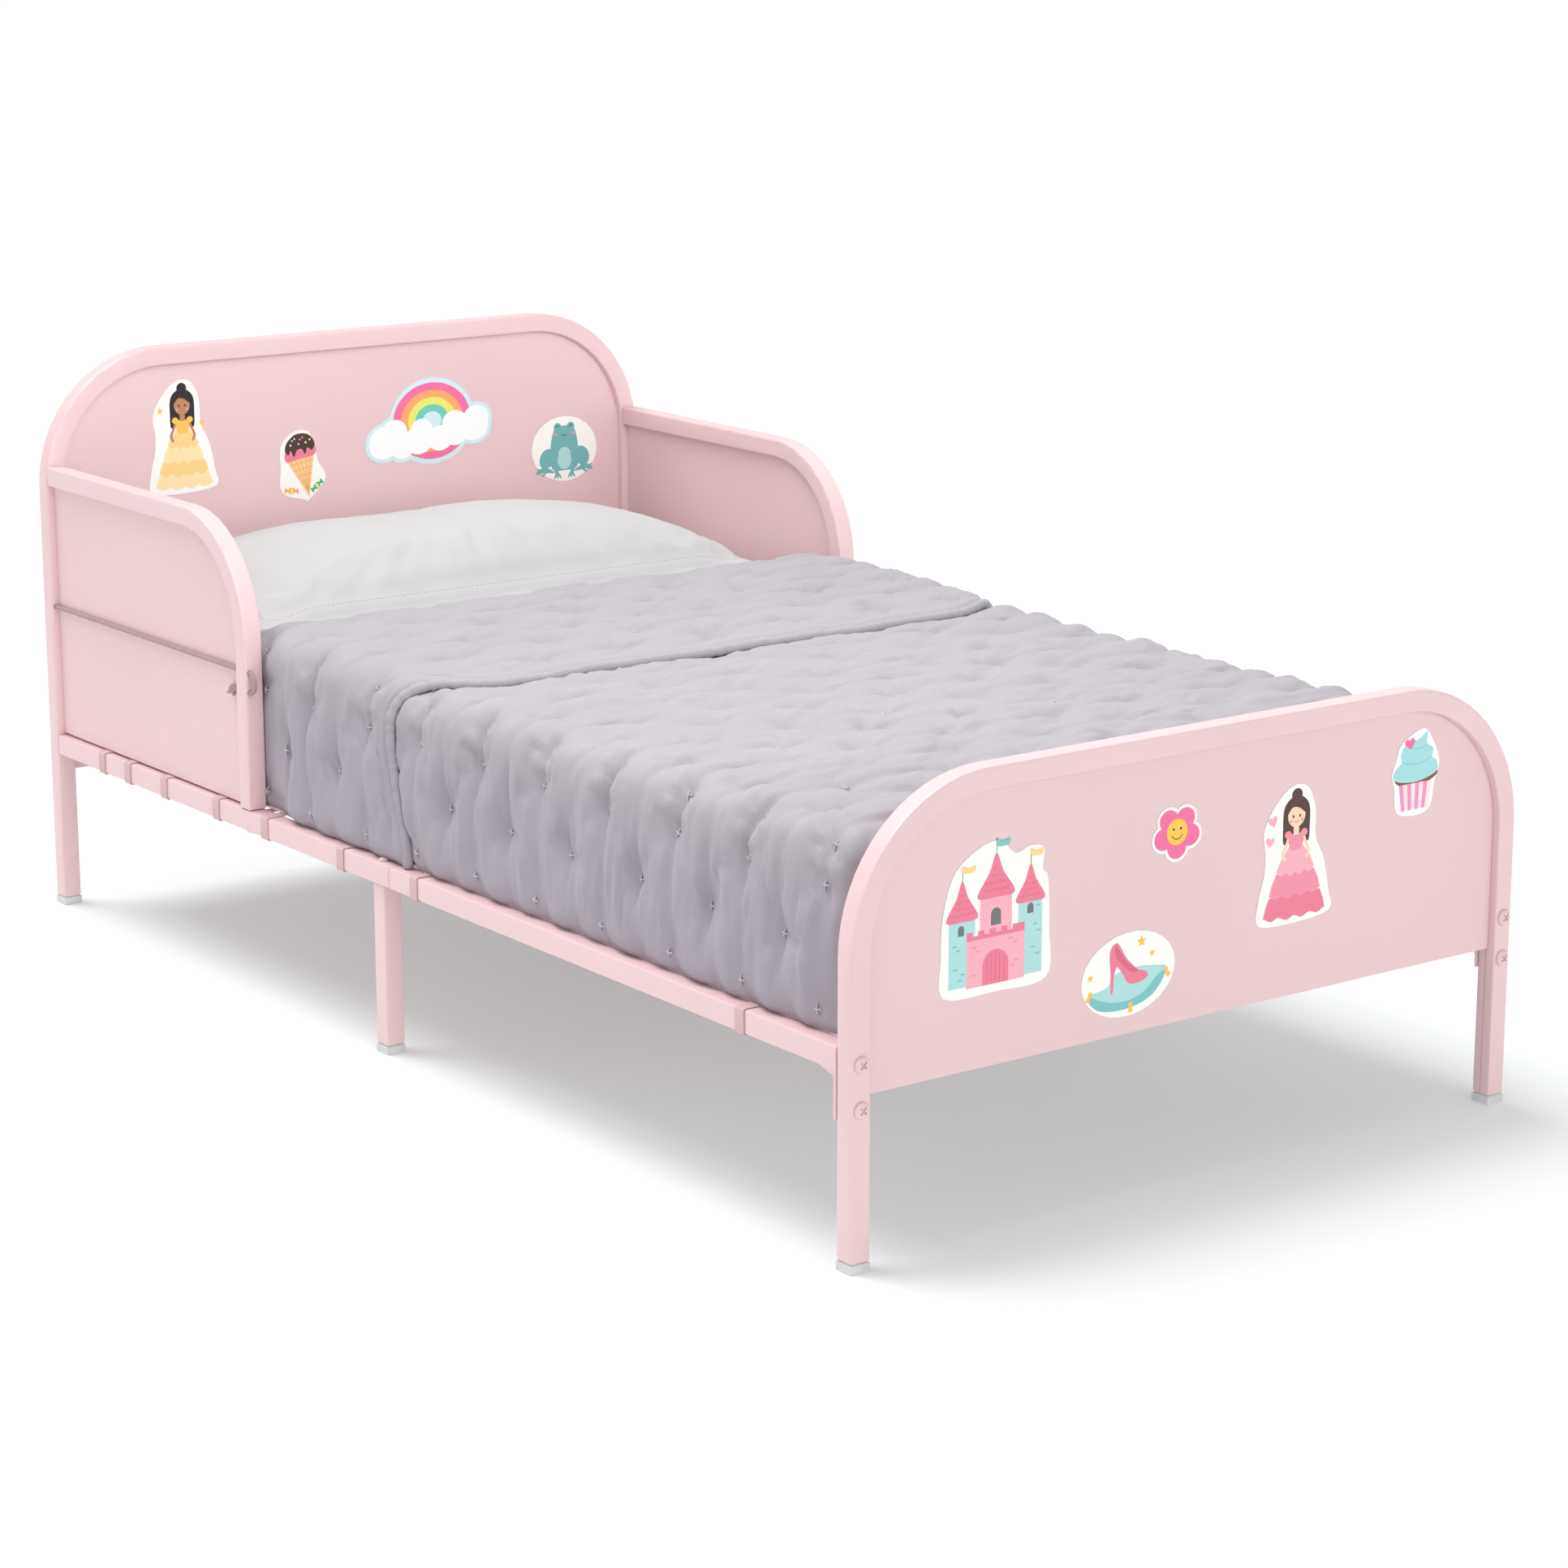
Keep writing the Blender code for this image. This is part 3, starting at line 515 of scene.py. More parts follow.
def tube_along(points, radius, sides=10, closed=False, ripple=None):
    """Rings round a line of points: their points, and the faces between them."""
    line = np.array(points)
    ahead = np.roll(line, -1, 0) - np.roll(line, 1, 0)
    if not closed:
        ahead[0], ahead[-1] = line[1] - line[0], line[-1] - line[-2]
    ahead /= np.linalg.norm(ahead, axis=1)[:, None]
    side = np.cross(ahead[0], (0, 0, 1) if abs(ahead[0][2]) < 0.9 else (1, 0, 0))
    made = []
    for i, (place, direction) in enumerate(zip(line, ahead)):
        side = side - direction * (side @ direction)
        side /= np.linalg.norm(side)
        up = np.cross(direction, side)
        for k in range(sides):
            angle = 2 * math.pi * k / sides
            reach = radius if ripple is None else radius * ripple(i, angle)
            made.append(place + reach * (math.cos(angle) * side + math.sin(angle) * up))
    faces = []
    count = len(line)
    for i in range(count if closed else count - 1):
        a, b = i * sides, (i + 1) % count * sides
        faces += [(a + k, a + (k + 1) % sides, b + (k + 1) % sides, b + k) for k in range(sides)]
    if not closed:
        faces += [tuple(range(sides))[::-1], tuple(range((count - 1) * sides, count * sides))]
    return np.array(made), faces


def merge(*meshes):
    """Several (points, faces) as one."""
    points, faces, start = [], [], 0
    for some_points, some_faces in meshes:
        points.append(np.asarray(some_points))
        faces += [tuple(i + start for i in face) for face in some_faces]
        start += len(some_points)
    return np.concatenate(points), faces


def rounded_loop(half_x, half_y, radius, step=0.008, turn=15):
    """A closed rounded rectangle round the origin, in even steps."""
    points = []
    for start, x, y in ((0, 1, 1), (90, -1, 1), (180, -1, -1), (270, 1, -1)):
        centre = np.array((x * (half_x - radius), y * (half_y - radius)))
        for angle in np.radians(range(start, start + 91, turn)):
            points.append(centre + (radius * math.cos(angle), radius * math.sin(angle)))
    dense = []
    for a, b in zip(points, points[1:] + points[:1]):
        count = max(1, round(math.dist(a, b) / step))
        dense += [tuple(a + (b - a) * t / count) for t in range(count)]
    return dense


def make_mattress():
    """A foam block in ticking, piped round its top and bottom edges."""
    cage, faces = box_cage(*mattress_places(0.028, 0.028, 0.026), "TBLRFH")
    body = Shell(cage, CORE_LOW, CORE_HIGH).at(smooth_noise(cage, 9.0) * 0.0006 - 0.0012)
    reach = 0.7071 * EDGE_RADIUS
    ring = rounded_loop(*(CORE_HIGH[:2] + reach - 0.002), EDGE_RADIUS)
    levels = (CORE_LOW[2] - reach, CORE_HIGH[2] + reach)
    pipes = [tube_along([(*place, z) for place in ring], PIPING_RADIUS, 8, closed=True) for z in levels]
    points, faces = merge((body, faces), *pipes)
    ticking = cotton("mattress_ticking", TICKING, 520.0, 0.0006)
    piece = make_piece("mattress_body", points, faces, ticking, "bedding", "white_cotton", ["mattress"])


def make_fitted_sheet(fabric):
    """Stretched over the mattress: faint pulls from its corners, gathered under its lower edge."""
    xs, ys, zs = mattress_places(0.010, 0.012, 0.010)
    cage, faces = box_cage(xs, ys, zs[3:], "TLRFH")
    shell = Shell(cage, CORE_LOW, CORE_HIGH)
    stretch = smooth_noise(cage * (1, 1, 0.35), 26.0, seed=4.0, octaves=3)
    on_side = 1 - np.abs(shell.out[:, 2])
    lower = np.clip((CORE_LOW[2] + 0.06 - cage[:, 2]) / 0.08, 0, 1)
    wave = 0.0005 * stretch * (0.5 + on_side)
    gather = np.sin((cage[:, 0] + cage[:, 1]) * 2 * math.pi / 0.017) * 0.0009 * lower
    outer = 0.0013 + np.clip(wave + gather * on_side, -0.0007, 0.0012)
    points, faces = thick_sheet(shell.at(outer), shell.at(outer - SHEET_CLOTH), faces)
    sheet = make_piece("bed_sheet", points, faces, fabric, "bedding", "white_cotton", ["fitted_sheet"])


def make_deck(fabric):
    """The sling under the mattress: one cloth with a turned, stitched hem, dipping between its straps."""
    low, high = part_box("fabric_deck")
    straps = [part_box(name)[0].y + 0.01 for name in sorted(NODES) if name.startswith("deck_strap")]
    xs, ys = even(low.x - 0.0024, high.x + 0.0024, 0.011), even(low.y, high.y, 0.011)
    grid = np.array([(x, y, high.z) for y in ys for x in xs])
    edge = np.minimum(xs[-1] - np.abs(grid[:, 0]), high.y - np.abs(grid[:, 1]))
    near_strap = np.min(np.abs(grid[:, 1:2] - np.array(straps)[None, :]), axis=1)
    dip = np.minimum(near_strap / 0.12, 1) * 0.0009
    upper = grid - np.outer(0.0002 + 0.0001 * smooth_noise(grid, 30.0), (0, 0, 1))
    lower = grid.copy()
    lower[:, 2] = high.z - 0.0009 - dip * (edge > 0.02)
    lower[edge < 0.016, 2] = low.z + 0.0001
    lower[np.abs(edge - 0.018) < 0.004, 2] += 0.0004
    points, faces = thick_sheet(upper, lower, grid_faces(len(xs), len(ys)))
    deck = make_piece("deck_sling", points, faces, fabric, "frame", "pink_webbing", ["fabric_deck"])


STRAP_THICKNESS = 0.0012
STRAP_CORNER = 0.0030
SELVEDGE = ((0.0, 0.75), (0.0008, 0.98), (0.0022, 0.72))  # from a strap's edge inwards: place and height


def make_strap(number, weave):
    """A woven band with thick selvedges, its ends lapped and box-stitched under the deck."""
    node = f"deck_strap_{number}"
    low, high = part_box(node)
    middle, half = (low + high) / 2, (high - low) / 2
    outer, inner = (
        rounded_loop(half.x - inside, half.z - inside, STRAP_CORNER - inside, 0.012, 18)
        for inside in (0.0, STRAP_THICKNESS)
    )
    profile = [(place - half.y, height) for place, height in SELVEDGE]
    profile += [(-0.4 * half.y, 0.78), (0.4 * half.y, 0.78)]
    profile += [(half.y - place, height) for place, height in reversed(SELVEDGE)]
    phase = (number * 2.399) % (2 * math.pi)
    points, faces = [], []
    for far, near in zip(np.array(outer), np.array(inner)):
        sway = middle.y + 0.0012 * math.sin(phase + (far[0] * 9 if abs(far[0]) < 0.35 else 0))
        for offset, height in [*profile, (-half.y, 0), (half.y, 0)]:
            x, z = near + (far - near) * height
            points.append((x, sway + offset, z + middle.z))
    count, rows = len(outer), len(profile)
    ring = rows + 2
    for i in range(count):
        a, b = i * ring, (i + 1) % count * ring
        faces += [(a + k, a + k + 1, b + k + 1, b + k) for k in range(rows - 1)]
        faces += [(a, b, b + rows, a + rows), (a + rows - 1, a + rows + 1, b + rows + 1, b + rows - 1)]
        faces.append((a + rows, b + rows, b + rows + 1, a + rows + 1))
    lap = lap_patch(-0.07 + 0.02 * (number % 3), middle.y, half.y, low.z)
    stitches = []
    for turn in (-1, 1):
        for t in np.linspace(-1, 1, 12)[:-1]:
            start = lap[2] + np.array((t * 0.021, turn * t * 0.0065, 0))
            stitches.append(tube_along([start, start + np.array((0.0024, turn * 0.00075, 0))], 0.00035, 5))
    points, faces = merge((points, faces), lap[:2], *stitches)
    make_piece(f"deck_band_{number}", points, faces, weave, "frame", "pink_webbing", [node])


def lap_patch(x, y, half, z):
    """The lapped end of a strap, on its underside; also returns the middle of its face."""
    long, rise = 0.026, 0.0011
    xs, ys = even(x - long, x + long, 0.004), even(y - half + 0.0006, y + half - 0.0006, 0.004)
    cage, faces = box_cage(xs, ys, [z - rise, z + 0.0002], "TBLRFH")
    ends = np.abs(cage[:, 0] - x) > long - 0.001
    cage[ends & (cage[:, 2] < z), 2] += 0.0006
    return cage, faces, np.array((x, y, z - rise))


# ---------------------------------------------------------------- quilt


def node_face(node, end, axis):
    """Where a CAD node starts (end 0) or ends (end 1) along an axis, to the tenth of a millimetre."""
    return round(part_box(node)[end]["xyz".index(axis)], 4)


SKIRT_BOTTOM = node_face("deck_strap_1", 1, "z")  # lower edge of the quilt, on the rails and straps
RAIL_INSIDE = node_face("side_rail_head_half_right", 0, "x")
RAIL_OUTSIDE = node_face("side_rail_head_half_right", 1, "x")
GUARD_INSIDE = node_face("guard_frame_right", 0, "x")
GUARD_START = node_face("guard_frame_right", 0, "y")
FOOTBOARD_INSIDE = node_face("footboard_frame", 1, "y")
QUILT_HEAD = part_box("quilt")[1].y - 0.009  # where the quilt starts to fold back
HEM_TOP = -0.035
SHOULDER = 0.320  # half width of the flat top, along the cloth
ARC = 0.036  # radius of the quilt's outer face over the mattress's edge
ROW_TUFTS = (0.0, 0.052, 0.104, 0.156, 0.208, 0.260, 0.307, 0.350, 0.384, 0.435, 0.487)
ROW_PARITY = (1, 0, 1, 0, 1, 0, 1, 0, 0, 1, 0)
TUFT_STEP = 0.103
TUFT_REACH = 0.0075  # furthest that a grid point may be from the tuft it takes
CROSS_HALF, CROSS_THREAD = 0.0046, 0.0007  # half length and radius of a tuft's stitches
BINDING_RADIUS, BINDING_RIPPLE = 0.0053, 0.0125
HEM_ROUND = 0.012  # height over which the two skins meet
FOLD_ROWS = 8


def ease(value, start, end):
    """From 0 at start to 1 at end, smoothly."""
    t = np.clip((np.asarray(value) - start) / (end - start), 0, 1)
    return t * t * (3 - 2 * t)


def cloth_distance(cage, out):
    """How far each point is from the quilt's middle line, measured along the cloth."""
    x, z = np.abs(cage[:, 0]), cage[:, 2]
    turn = np.arctan2(np.abs(out[:, 0]), np.maximum(out[:, 2], 0))
    down = np.maximum(CORE_HIGH[2] - z, 0)
    distance = np.where(out[:, 2] > 0.999, np.minimum(x, SHOULDER), SHOULDER + ARC * turn + down)
    return distance * np.sign(cage[:, 0])


def tuft_places(first, shifted):
    """Staggered tufts as (distance across, place along): first and shifted start the two kinds of row."""
    made = []
    for row, parity in zip(ROW_TUFTS, ROW_PARITY):
        start = shifted if parity else first
        for sign in (-1, 1) if row else (1,):
            made += [(sign * row, start + TUFT_STEP * k) for k in range(-8, 8)]
    return np.array(made)


def pucker(across, along, tufts):
    """Height that stitching takes from puffed cloth: long creases, dimples and small fans of folds."""
    crease, dimple, fan = (np.zeros(len(across)) for _ in range(3))
    for s, t in tufts:
        near = np.flatnonzero((np.abs(across - s) < 0.11) & (np.abs(along - t) < 0.05))
        ds, dt = across[near] - s, along[near] - t
        line = np.exp(-((np.abs(dt) / 0.0062) ** 0.95) - (ds / 0.060) ** 2)
        crease[near] = np.maximum(crease[near], line)
        dimple[near] = np.maximum(dimple[near], np.exp(-((ds / 0.020) ** 2) - (dt / 0.018) ** 2))
        reach = np.hypot(ds, dt)
        folds = np.cos(6 * np.arctan2(dt, ds) + 40 * s) * np.exp(-((reach / 0.024) ** 2))
        fan[near] += folds * np.minimum(reach / 0.010, 1)
    return 0.0020 - 0.0082 * crease - 0.0062 * dimple + 0.0018 * fan


def side_swell(across, along, free):
    """How far the quilt's outer face stands off the mattress down its sides."""
    down = np.clip((np.abs(across) - SHOULDER - ARC * 1.2) / 0.14, 0, 1)
    scallop = 0.0016 * np.sin((along + 0.025) * 2 * math.pi / (TUFT_STEP / 2)) * down
    return 0.0123 + free * (0.0024 + 0.0068 * down + 0.0030 * np.sin(math.pi * down) + scallop)


def quilt_rows():
    """(layer, place along, turn of the fold) for each row of the quilt, from its foot to its hem."""
    lower = [("lower", y, 0.0) for y in ALONG]
    fold = [("fold", QUILT_HEAD, math.pi * t / (FOLD_ROWS + 1)) for t in range(1, FOLD_ROWS + 1)]
    upper = [("upper", y, math.pi) for y in even(QUILT_HEAD, HEM_TOP, 0.0037)]
    return lower + fold + upper


ACROSS = axis_places(CORE_LOW[0], CORE_HIGH[0], 0.0092, turns=6)
ALONG = axis_places(CORE_LOW[1], QUILT_HEAD, 0.0037, round_high=False, turns=5)
UPWARD = axis_places(SKIRT_BOTTOM, CORE_HIGH[2], 0.0085, round_low=False, turns=6)


def hem_place(across):
    """Where the turned-back layer's hem lies along the bed."""
    s = np.abs(across)
    place = HEM_TOP + 0.055 * ease(s, 0.27, 0.37) - 0.028 * ease(s, 0.39, 0.50)
    return place + 0.0022 * np.sin(across * 31) + 0.0012 * np.sin(across * 67 + 1)


def quilt_skins():
    """The quilt's cage and faces, and each point's place on a Shell, layer and turn of the fold."""
    rows = quilt_rows()
    nx, nz = len(ACROSS) - 1, len(UPWARD) - 1
    section = [(0, k) for k in range(nz)] + [(i, nz) for i in range(nx + 1)]
    section += [(nx, k) for k in range(nz - 1, -1, -1)]
    width = len(section)
    cage = [(ACROSS[i], y, UPWARD[k]) for _, y, _ in rows for i, k in section]
    faces = grid_faces(width, len(rows))
    place = {pair: c for c, pair in enumerate(section)}
    for i in range(nx + 1):
        for k in range(nz):
            if (i, k) not in place:
                place[(i, k)] = len(cage)
                cage.append((ACROSS[i], ALONG[0], UPWARD[k]))
    for i in range(nx):
        for k in range(nz):
            faces.append(tuple(place[p] for p in ((i, k), (i + 1, k), (i + 1, k + 1), (i, k + 1))))
    cage = np.array(cage)
    low = np.array((CORE_LOW[0], CORE_LOW[1], 0))
    high = np.array((CORE_HIGH[0], 1, CORE_HIGH[2]))
    layer = np.zeros(len(cage), int)
    turn = np.zeros(len(cage))
    for r, (name, _, angle) in enumerate(rows):
        layer[r * width : (r + 1) * width] = ("lower", "fold", "upper").index(name)
        turn[r * width : (r + 1) * width] = angle
    return cage, faces, Shell(cage, low, high), layer, turn, width


def shape_quilt():
    """The quilt's two skins: offsets of the mattress's rounded box, by layer and by what covers it."""
    cage, faces, shell, layer, turn, width = quilt_skins()
    across = cloth_distance(cage, shell.out)
    upper = layer == 2
    share = (cage[:, 1] - QUILT_HEAD) / (HEM_TOP - QUILT_HEAD)
    along = np.where(upper, QUILT_HEAD + share * (hem_place(across) - QUILT_HEAD), cage[:, 1])
    shell.core[:, 1] += along - cage[:, 1]
    on_top = ease(shell.out[:, 2], 0.05, 0.95)
    on_foot = ease(-shell.out[:, 1], 0.05, 0.95)
    free = 1 - ease(along, GUARD_START - 0.093, GUARD_START - 0.010)
    hem_gap = along - hem_place(across)
    covered = ease(hem_gap, -0.016, 0.004)
    spot = np.stack([across, along, np.zeros(len(across))], 1)
    slow = smooth_noise(spot, 7.0, 2, 3.0)
    wander = smooth_noise(spot, 16.0, 2, 8.0)
    folds = np.abs(smooth_noise(spot * (0.20, 1.0, 1.0), 34.0, 2, 5.0))
    ribs = np.abs(smooth_noise(spot * (0.26, 1.0, 1.0), 80.0, 2, 9.0))
    far_from_foot = 1 - ease(-along, 0.635, 0.668)
    warped = along + 0.0065 * wander
    first_tufts, upper_tufts = tuft_places(-0.025, -0.0765), tuft_places(0.062, 0.0105)
    uneven = 0.95 + 0.35 * slow
    stitched = pucker(across, warped, first_tufts) * uneven
    stitched_upper = pucker(across, warped, upper_tufts) * uneven
    texture = 0.0013 * slow + 0.0052 * np.minimum(folds, 0.6) + 0.0024 * ribs - 0.0020

    side = side_swell(across, along, free)
    guard_gap = np.where(free < 0.5, 0.35, 1.0)
    beside_hem = 1 - ease(-hem_gap, 0.004, 0.035)
    single = on_top * (0.0182 - 0.0042 * beside_hem) + (1 - on_top) * side
    at_hem = ease(0.245 - cage[:, 2], 0.0, 0.045)
    depth = on_top + (1 - on_top) * (0.78 - 0.5 * at_hem) * guard_gap
    single = single + (stitched * far_from_foot + texture) * depth
    down_foot = smooth_noise(cage * (1.0, 0.0, 0.25), 24.0, 2, 12.0)
    single += on_foot * (1 - on_top) * (0.0050 * np.minimum(np.abs(down_foot), 0.5) - 0.0014)
    thin = ease(QUILT_HEAD - along, 0.0, 0.075)
    under = on_top * (0.0052 + 0.0058 * thin) + (1 - on_top) * (0.0060 + 0.0045 * free)
    lower_out = single + (under - single) * covered
    lower_in = np.maximum(0.0025, (lower_out - 0.0115) * (1 - on_top) * (1 - on_foot))

    crown = 0.0045 * ease(hem_gap, 0.0, 0.11) * (1 - 0.5 * ease(along, 0.25, 0.335))
    lifted = 1 - ease(hem_gap, 0.0, 0.030)
    upper_in = under + 0.0009 + 0.0032 * lifted * (on_top + (1 - on_top) * free)
    upper_out = on_top * (0.0245 + crown) + (1 - on_top) * (side + 0.0040 * free)
    upper_out += (stitched_upper + texture) * depth * ease(hem_gap, 0.004, 0.03)
    upper_out -= 0.0055 * (1 - ease(hem_gap, 0.0, 0.0085)) * (0.5 + 0.5 * on_top)
    upper_out = upper_out * thin + (1 - thin) * (on_top * 0.0125 + (1 - on_top) * 0.0122)

    outs, pushes = [], []
    columns = np.arange(width)
    for below, above in ((lower_out, upper_in), (lower_in, upper_out)):
        out, push = np.where(upper, above, below), np.zeros(len(cage))
        start = below[(len(ALONG) - 1) * width + columns]
        end = above[(len(ALONG) + FOLD_ROWS) * width + columns]
        for row in range(len(ALONG), len(ALONG) + FOLD_ROWS):
            index = row * width + columns
            angle = turn[index[0]]
            out[index] = (start + end) / 2 - math.cos(angle) * (end - start) / 2
            push[index] = math.sin(angle) * (end - start) / 2
        outs.append(out)
        pushes.append(push)
    # The skins meet at the quilt's lower edges, so that they end in a soft round.
    rise = np.clip((cage[:, 2] - SKIRT_BOTTOM) / HEM_ROUND, 0, 1)
    pinch = (1 - np.sqrt(1 - (1 - rise) ** 2)) * 0.4 * (outs[1] - outs[0])
    skin_a, skin_b = shell.at(outs[0] + pinch), shell.at(outs[1] - pinch)
    skin_a[:, 1] += pushes[0]
    skin_b[:, 1] += pushes[1]
    return skin_a, skin_b, faces, across, along, layer, width, first_tufts, upper_tufts, shell.out


def tuft_members(across, along, rows, tufts):
    """The grid points nearest to each tuft that is on these rows, away from the foot and the fold."""
    tree = kdtree.KDTree(len(rows))
    for i in rows:
        tree.insert((across[i], along[i], 0), int(i))
    tree.balance()
    found = [tree.find((s, t, 0)) for s, t in tufts if -0.645 < t < QUILT_HEAD - 0.02]
    return [index for _, index, distance in found if distance < TUFT_REACH]


def keep_clear(points):
    """Holds the quilt off the guard rails, the footboard and the rails' top faces."""
    beside = ease(points[:, 1], GUARD_START - 0.018, GUARD_START - 0.006)
    open_reach, guarded_reach = RAIL_OUTSIDE - 0.0065, GUARD_INSIDE - 0.0006
    widest = open_reach - beside * (open_reach - guarded_reach)
    points[:, 0] = np.clip(points[:, 0], -widest, widest)
    points[:, 1] = np.maximum(points[:, 1], FOOTBOARD_INSIDE + 0.0012)
    points[:, 2] = np.maximum(points[:, 2], SKIRT_BOTTOM - 0.0006)


def stand_on_rails(points, outer):
    """Keeps an outer skin's lower edge on the rails, so that no gap opens inside them."""
    foot = FOOTBOARD_INSIDE + 0.013
    low = outer & (points[:, 2] < SKIRT_BOTTOM + HEM_ROUND) & (points[:, 1] > foot)
    side = low & (np.abs(points[:, 0]) > RAIL_INSIDE - 0.020)
    least = RAIL_INSIDE + 0.0042 - 0.0030 * ease(-points[side, 1], -foot - 0.027, -foot)
    least -= 0.0110 * ease(points[side, 1], GUARD_START - 0.068, GUARD_START - 0.018)
    points[side, 0] = np.sign(points[side, 0]) * np.maximum(np.abs(points[side, 0]), least)


def drape(points, faces, inside, held):
    """Runs the cloth simulation over some rows of a skin, held at its border and its tufts."""
    number = np.full(len(points), -1)
    number[inside] = np.arange(len(inside))
    own = [tuple(int(number[i]) for i in face) for face in faces if all(number[i] >= 0 for i in face)]
    border = {i for edge in boundary_edges(own) for i in edge}
    pinned = sorted(border) + [number[i] for i in held if number[i] >= 0]
    cloth = {"pressure": 0.8, "frames": 12, "most": 0.0018, "growth": 0.03, "bending": 0.15}
    points[inside] = relax(points[inside], own, pinned, **cloth)


def make_quilt(fabric, stitching):
    skin_a, skin_b, faces, across, along, layer, width, tufts, upper_tufts, outs = shape_quilt()
    hem = hem_place(across)
    lower_rows = np.flatnonzero((layer == 0) & (along < hem + 0.012))
    upper_rows = np.flatnonzero((layer == 2) & (along > hem + 0.012))
    lower_grid = np.flatnonzero((np.abs(outs[:, 1]) < 0.2) & (layer == 0) & (along < hem - 0.014))
    low_tufts = tuft_members(across, along, lower_grid, tufts)
    high_tufts = tuft_members(across, along, upper_rows, upper_tufts)
    drape(skin_a, faces, lower_rows, low_tufts)
    drape(skin_b, [face[::-1] for face in faces], upper_rows, high_tufts)
    keep_clear(skin_a)
    keep_clear(skin_b)
    stand_on_rails(skin_a, (layer == 0) & (along < hem - 0.012))
    stand_on_rails(skin_b, layer == 2)
    points, all_faces = thick_sheet(skin_a, skin_b, faces)
    quilt = make_piece("quilt_cover", points, all_faces, fabric, "bedding", "lavender_quilt", ["quilt"])

    last = np.flatnonzero(layer == 2)[-width:]
    line = (skin_a[last] + skin_b[last]) / 2 + outs[last] * 0.0016 - (0, 0.0030, 0)
    binding = make_piece("quilt_binding", *make_binding(line), fabric, "bedding", "lavender_quilt")
    crosses = [tuft_cross(skin_a, outs, i) for i in low_tufts]
    crosses += [tuft_cross(skin_b, outs, i) for i in high_tufts]
    stitches = make_piece("quilt_tufts", *merge(*crosses), stitching, "bedding", "lavender_quilt")


def even_path(points, step, whole=True):
    """A line in equal steps, the last of them cut short unless they are to fill it; and its length."""
    line = np.array([tuple(p) for p in points])
    run = np.concatenate([[0], np.cumsum(np.linalg.norm(np.diff(line, axis=0), axis=1))])
    places = np.linspace(0, run[-1], round(run[-1] / step) + 1) if whole else np.arange(0, run[-1], step)
    return np.stack([np.interp(places, run, line[:, k]) for k in range(3)], 1), run[-1]


def make_binding(line):
    """A corded edge along the hem, drawn into short ripples by its stitching."""
    step = 0.0026
    path, _ = even_path(line, step, whole=False)
    places = np.arange(len(path)) * step
    spots = np.outer(places, (1, 0, 0))
    wobble = smooth_noise(spots, 60.0, 2, 2.0)
    path[:, 2] += 0.0005 * wobble
    path[:, 1] += 0.0007 * smooth_noise(spots, 35.0, 2, 7.0)

    def ripple(i, angle):
        slant = places[i] + 0.0016 * math.sin(angle) + 0.007 * wobble[i]
        return 0.78 + 0.26 * abs(math.sin(math.pi * slant / BINDING_RIPPLE)) ** 0.6 + 0.06 * wobble[i]

    return tube_along(path, BINDING_RADIUS, 16, ripple=ripple)


def tuft_cross(points, outs, index):
    """Two short crossed threads lying in a tuft's dimple."""
    one = points[index + 1] - points[index - 1]
    one /= np.linalg.norm(one)
    two = np.cross(outs[index], one)
    turn = 0.22 * math.sin(index * 12.9898)
    meshes = []
    for angle in (turn, turn + 1.5):
        way = (math.cos(angle) * one + math.sin(angle) * two) * CROSS_HALF
        t = np.linspace(-1, 1, 7)
        arch = np.outer(t, way) + np.outer(0.0016 * (1 - t * t) + 0.0009, outs[index])
        meshes.append(tube_along(points[index] + arch, CROSS_THREAD, 6))
    return merge(*meshes)


# ---------------------------------------------------------------- pillow


PILLOW_FLANGE = 0.0225
PILLOW_CLOTH = 0.0009
STITCH_RADIUS = 0.0003


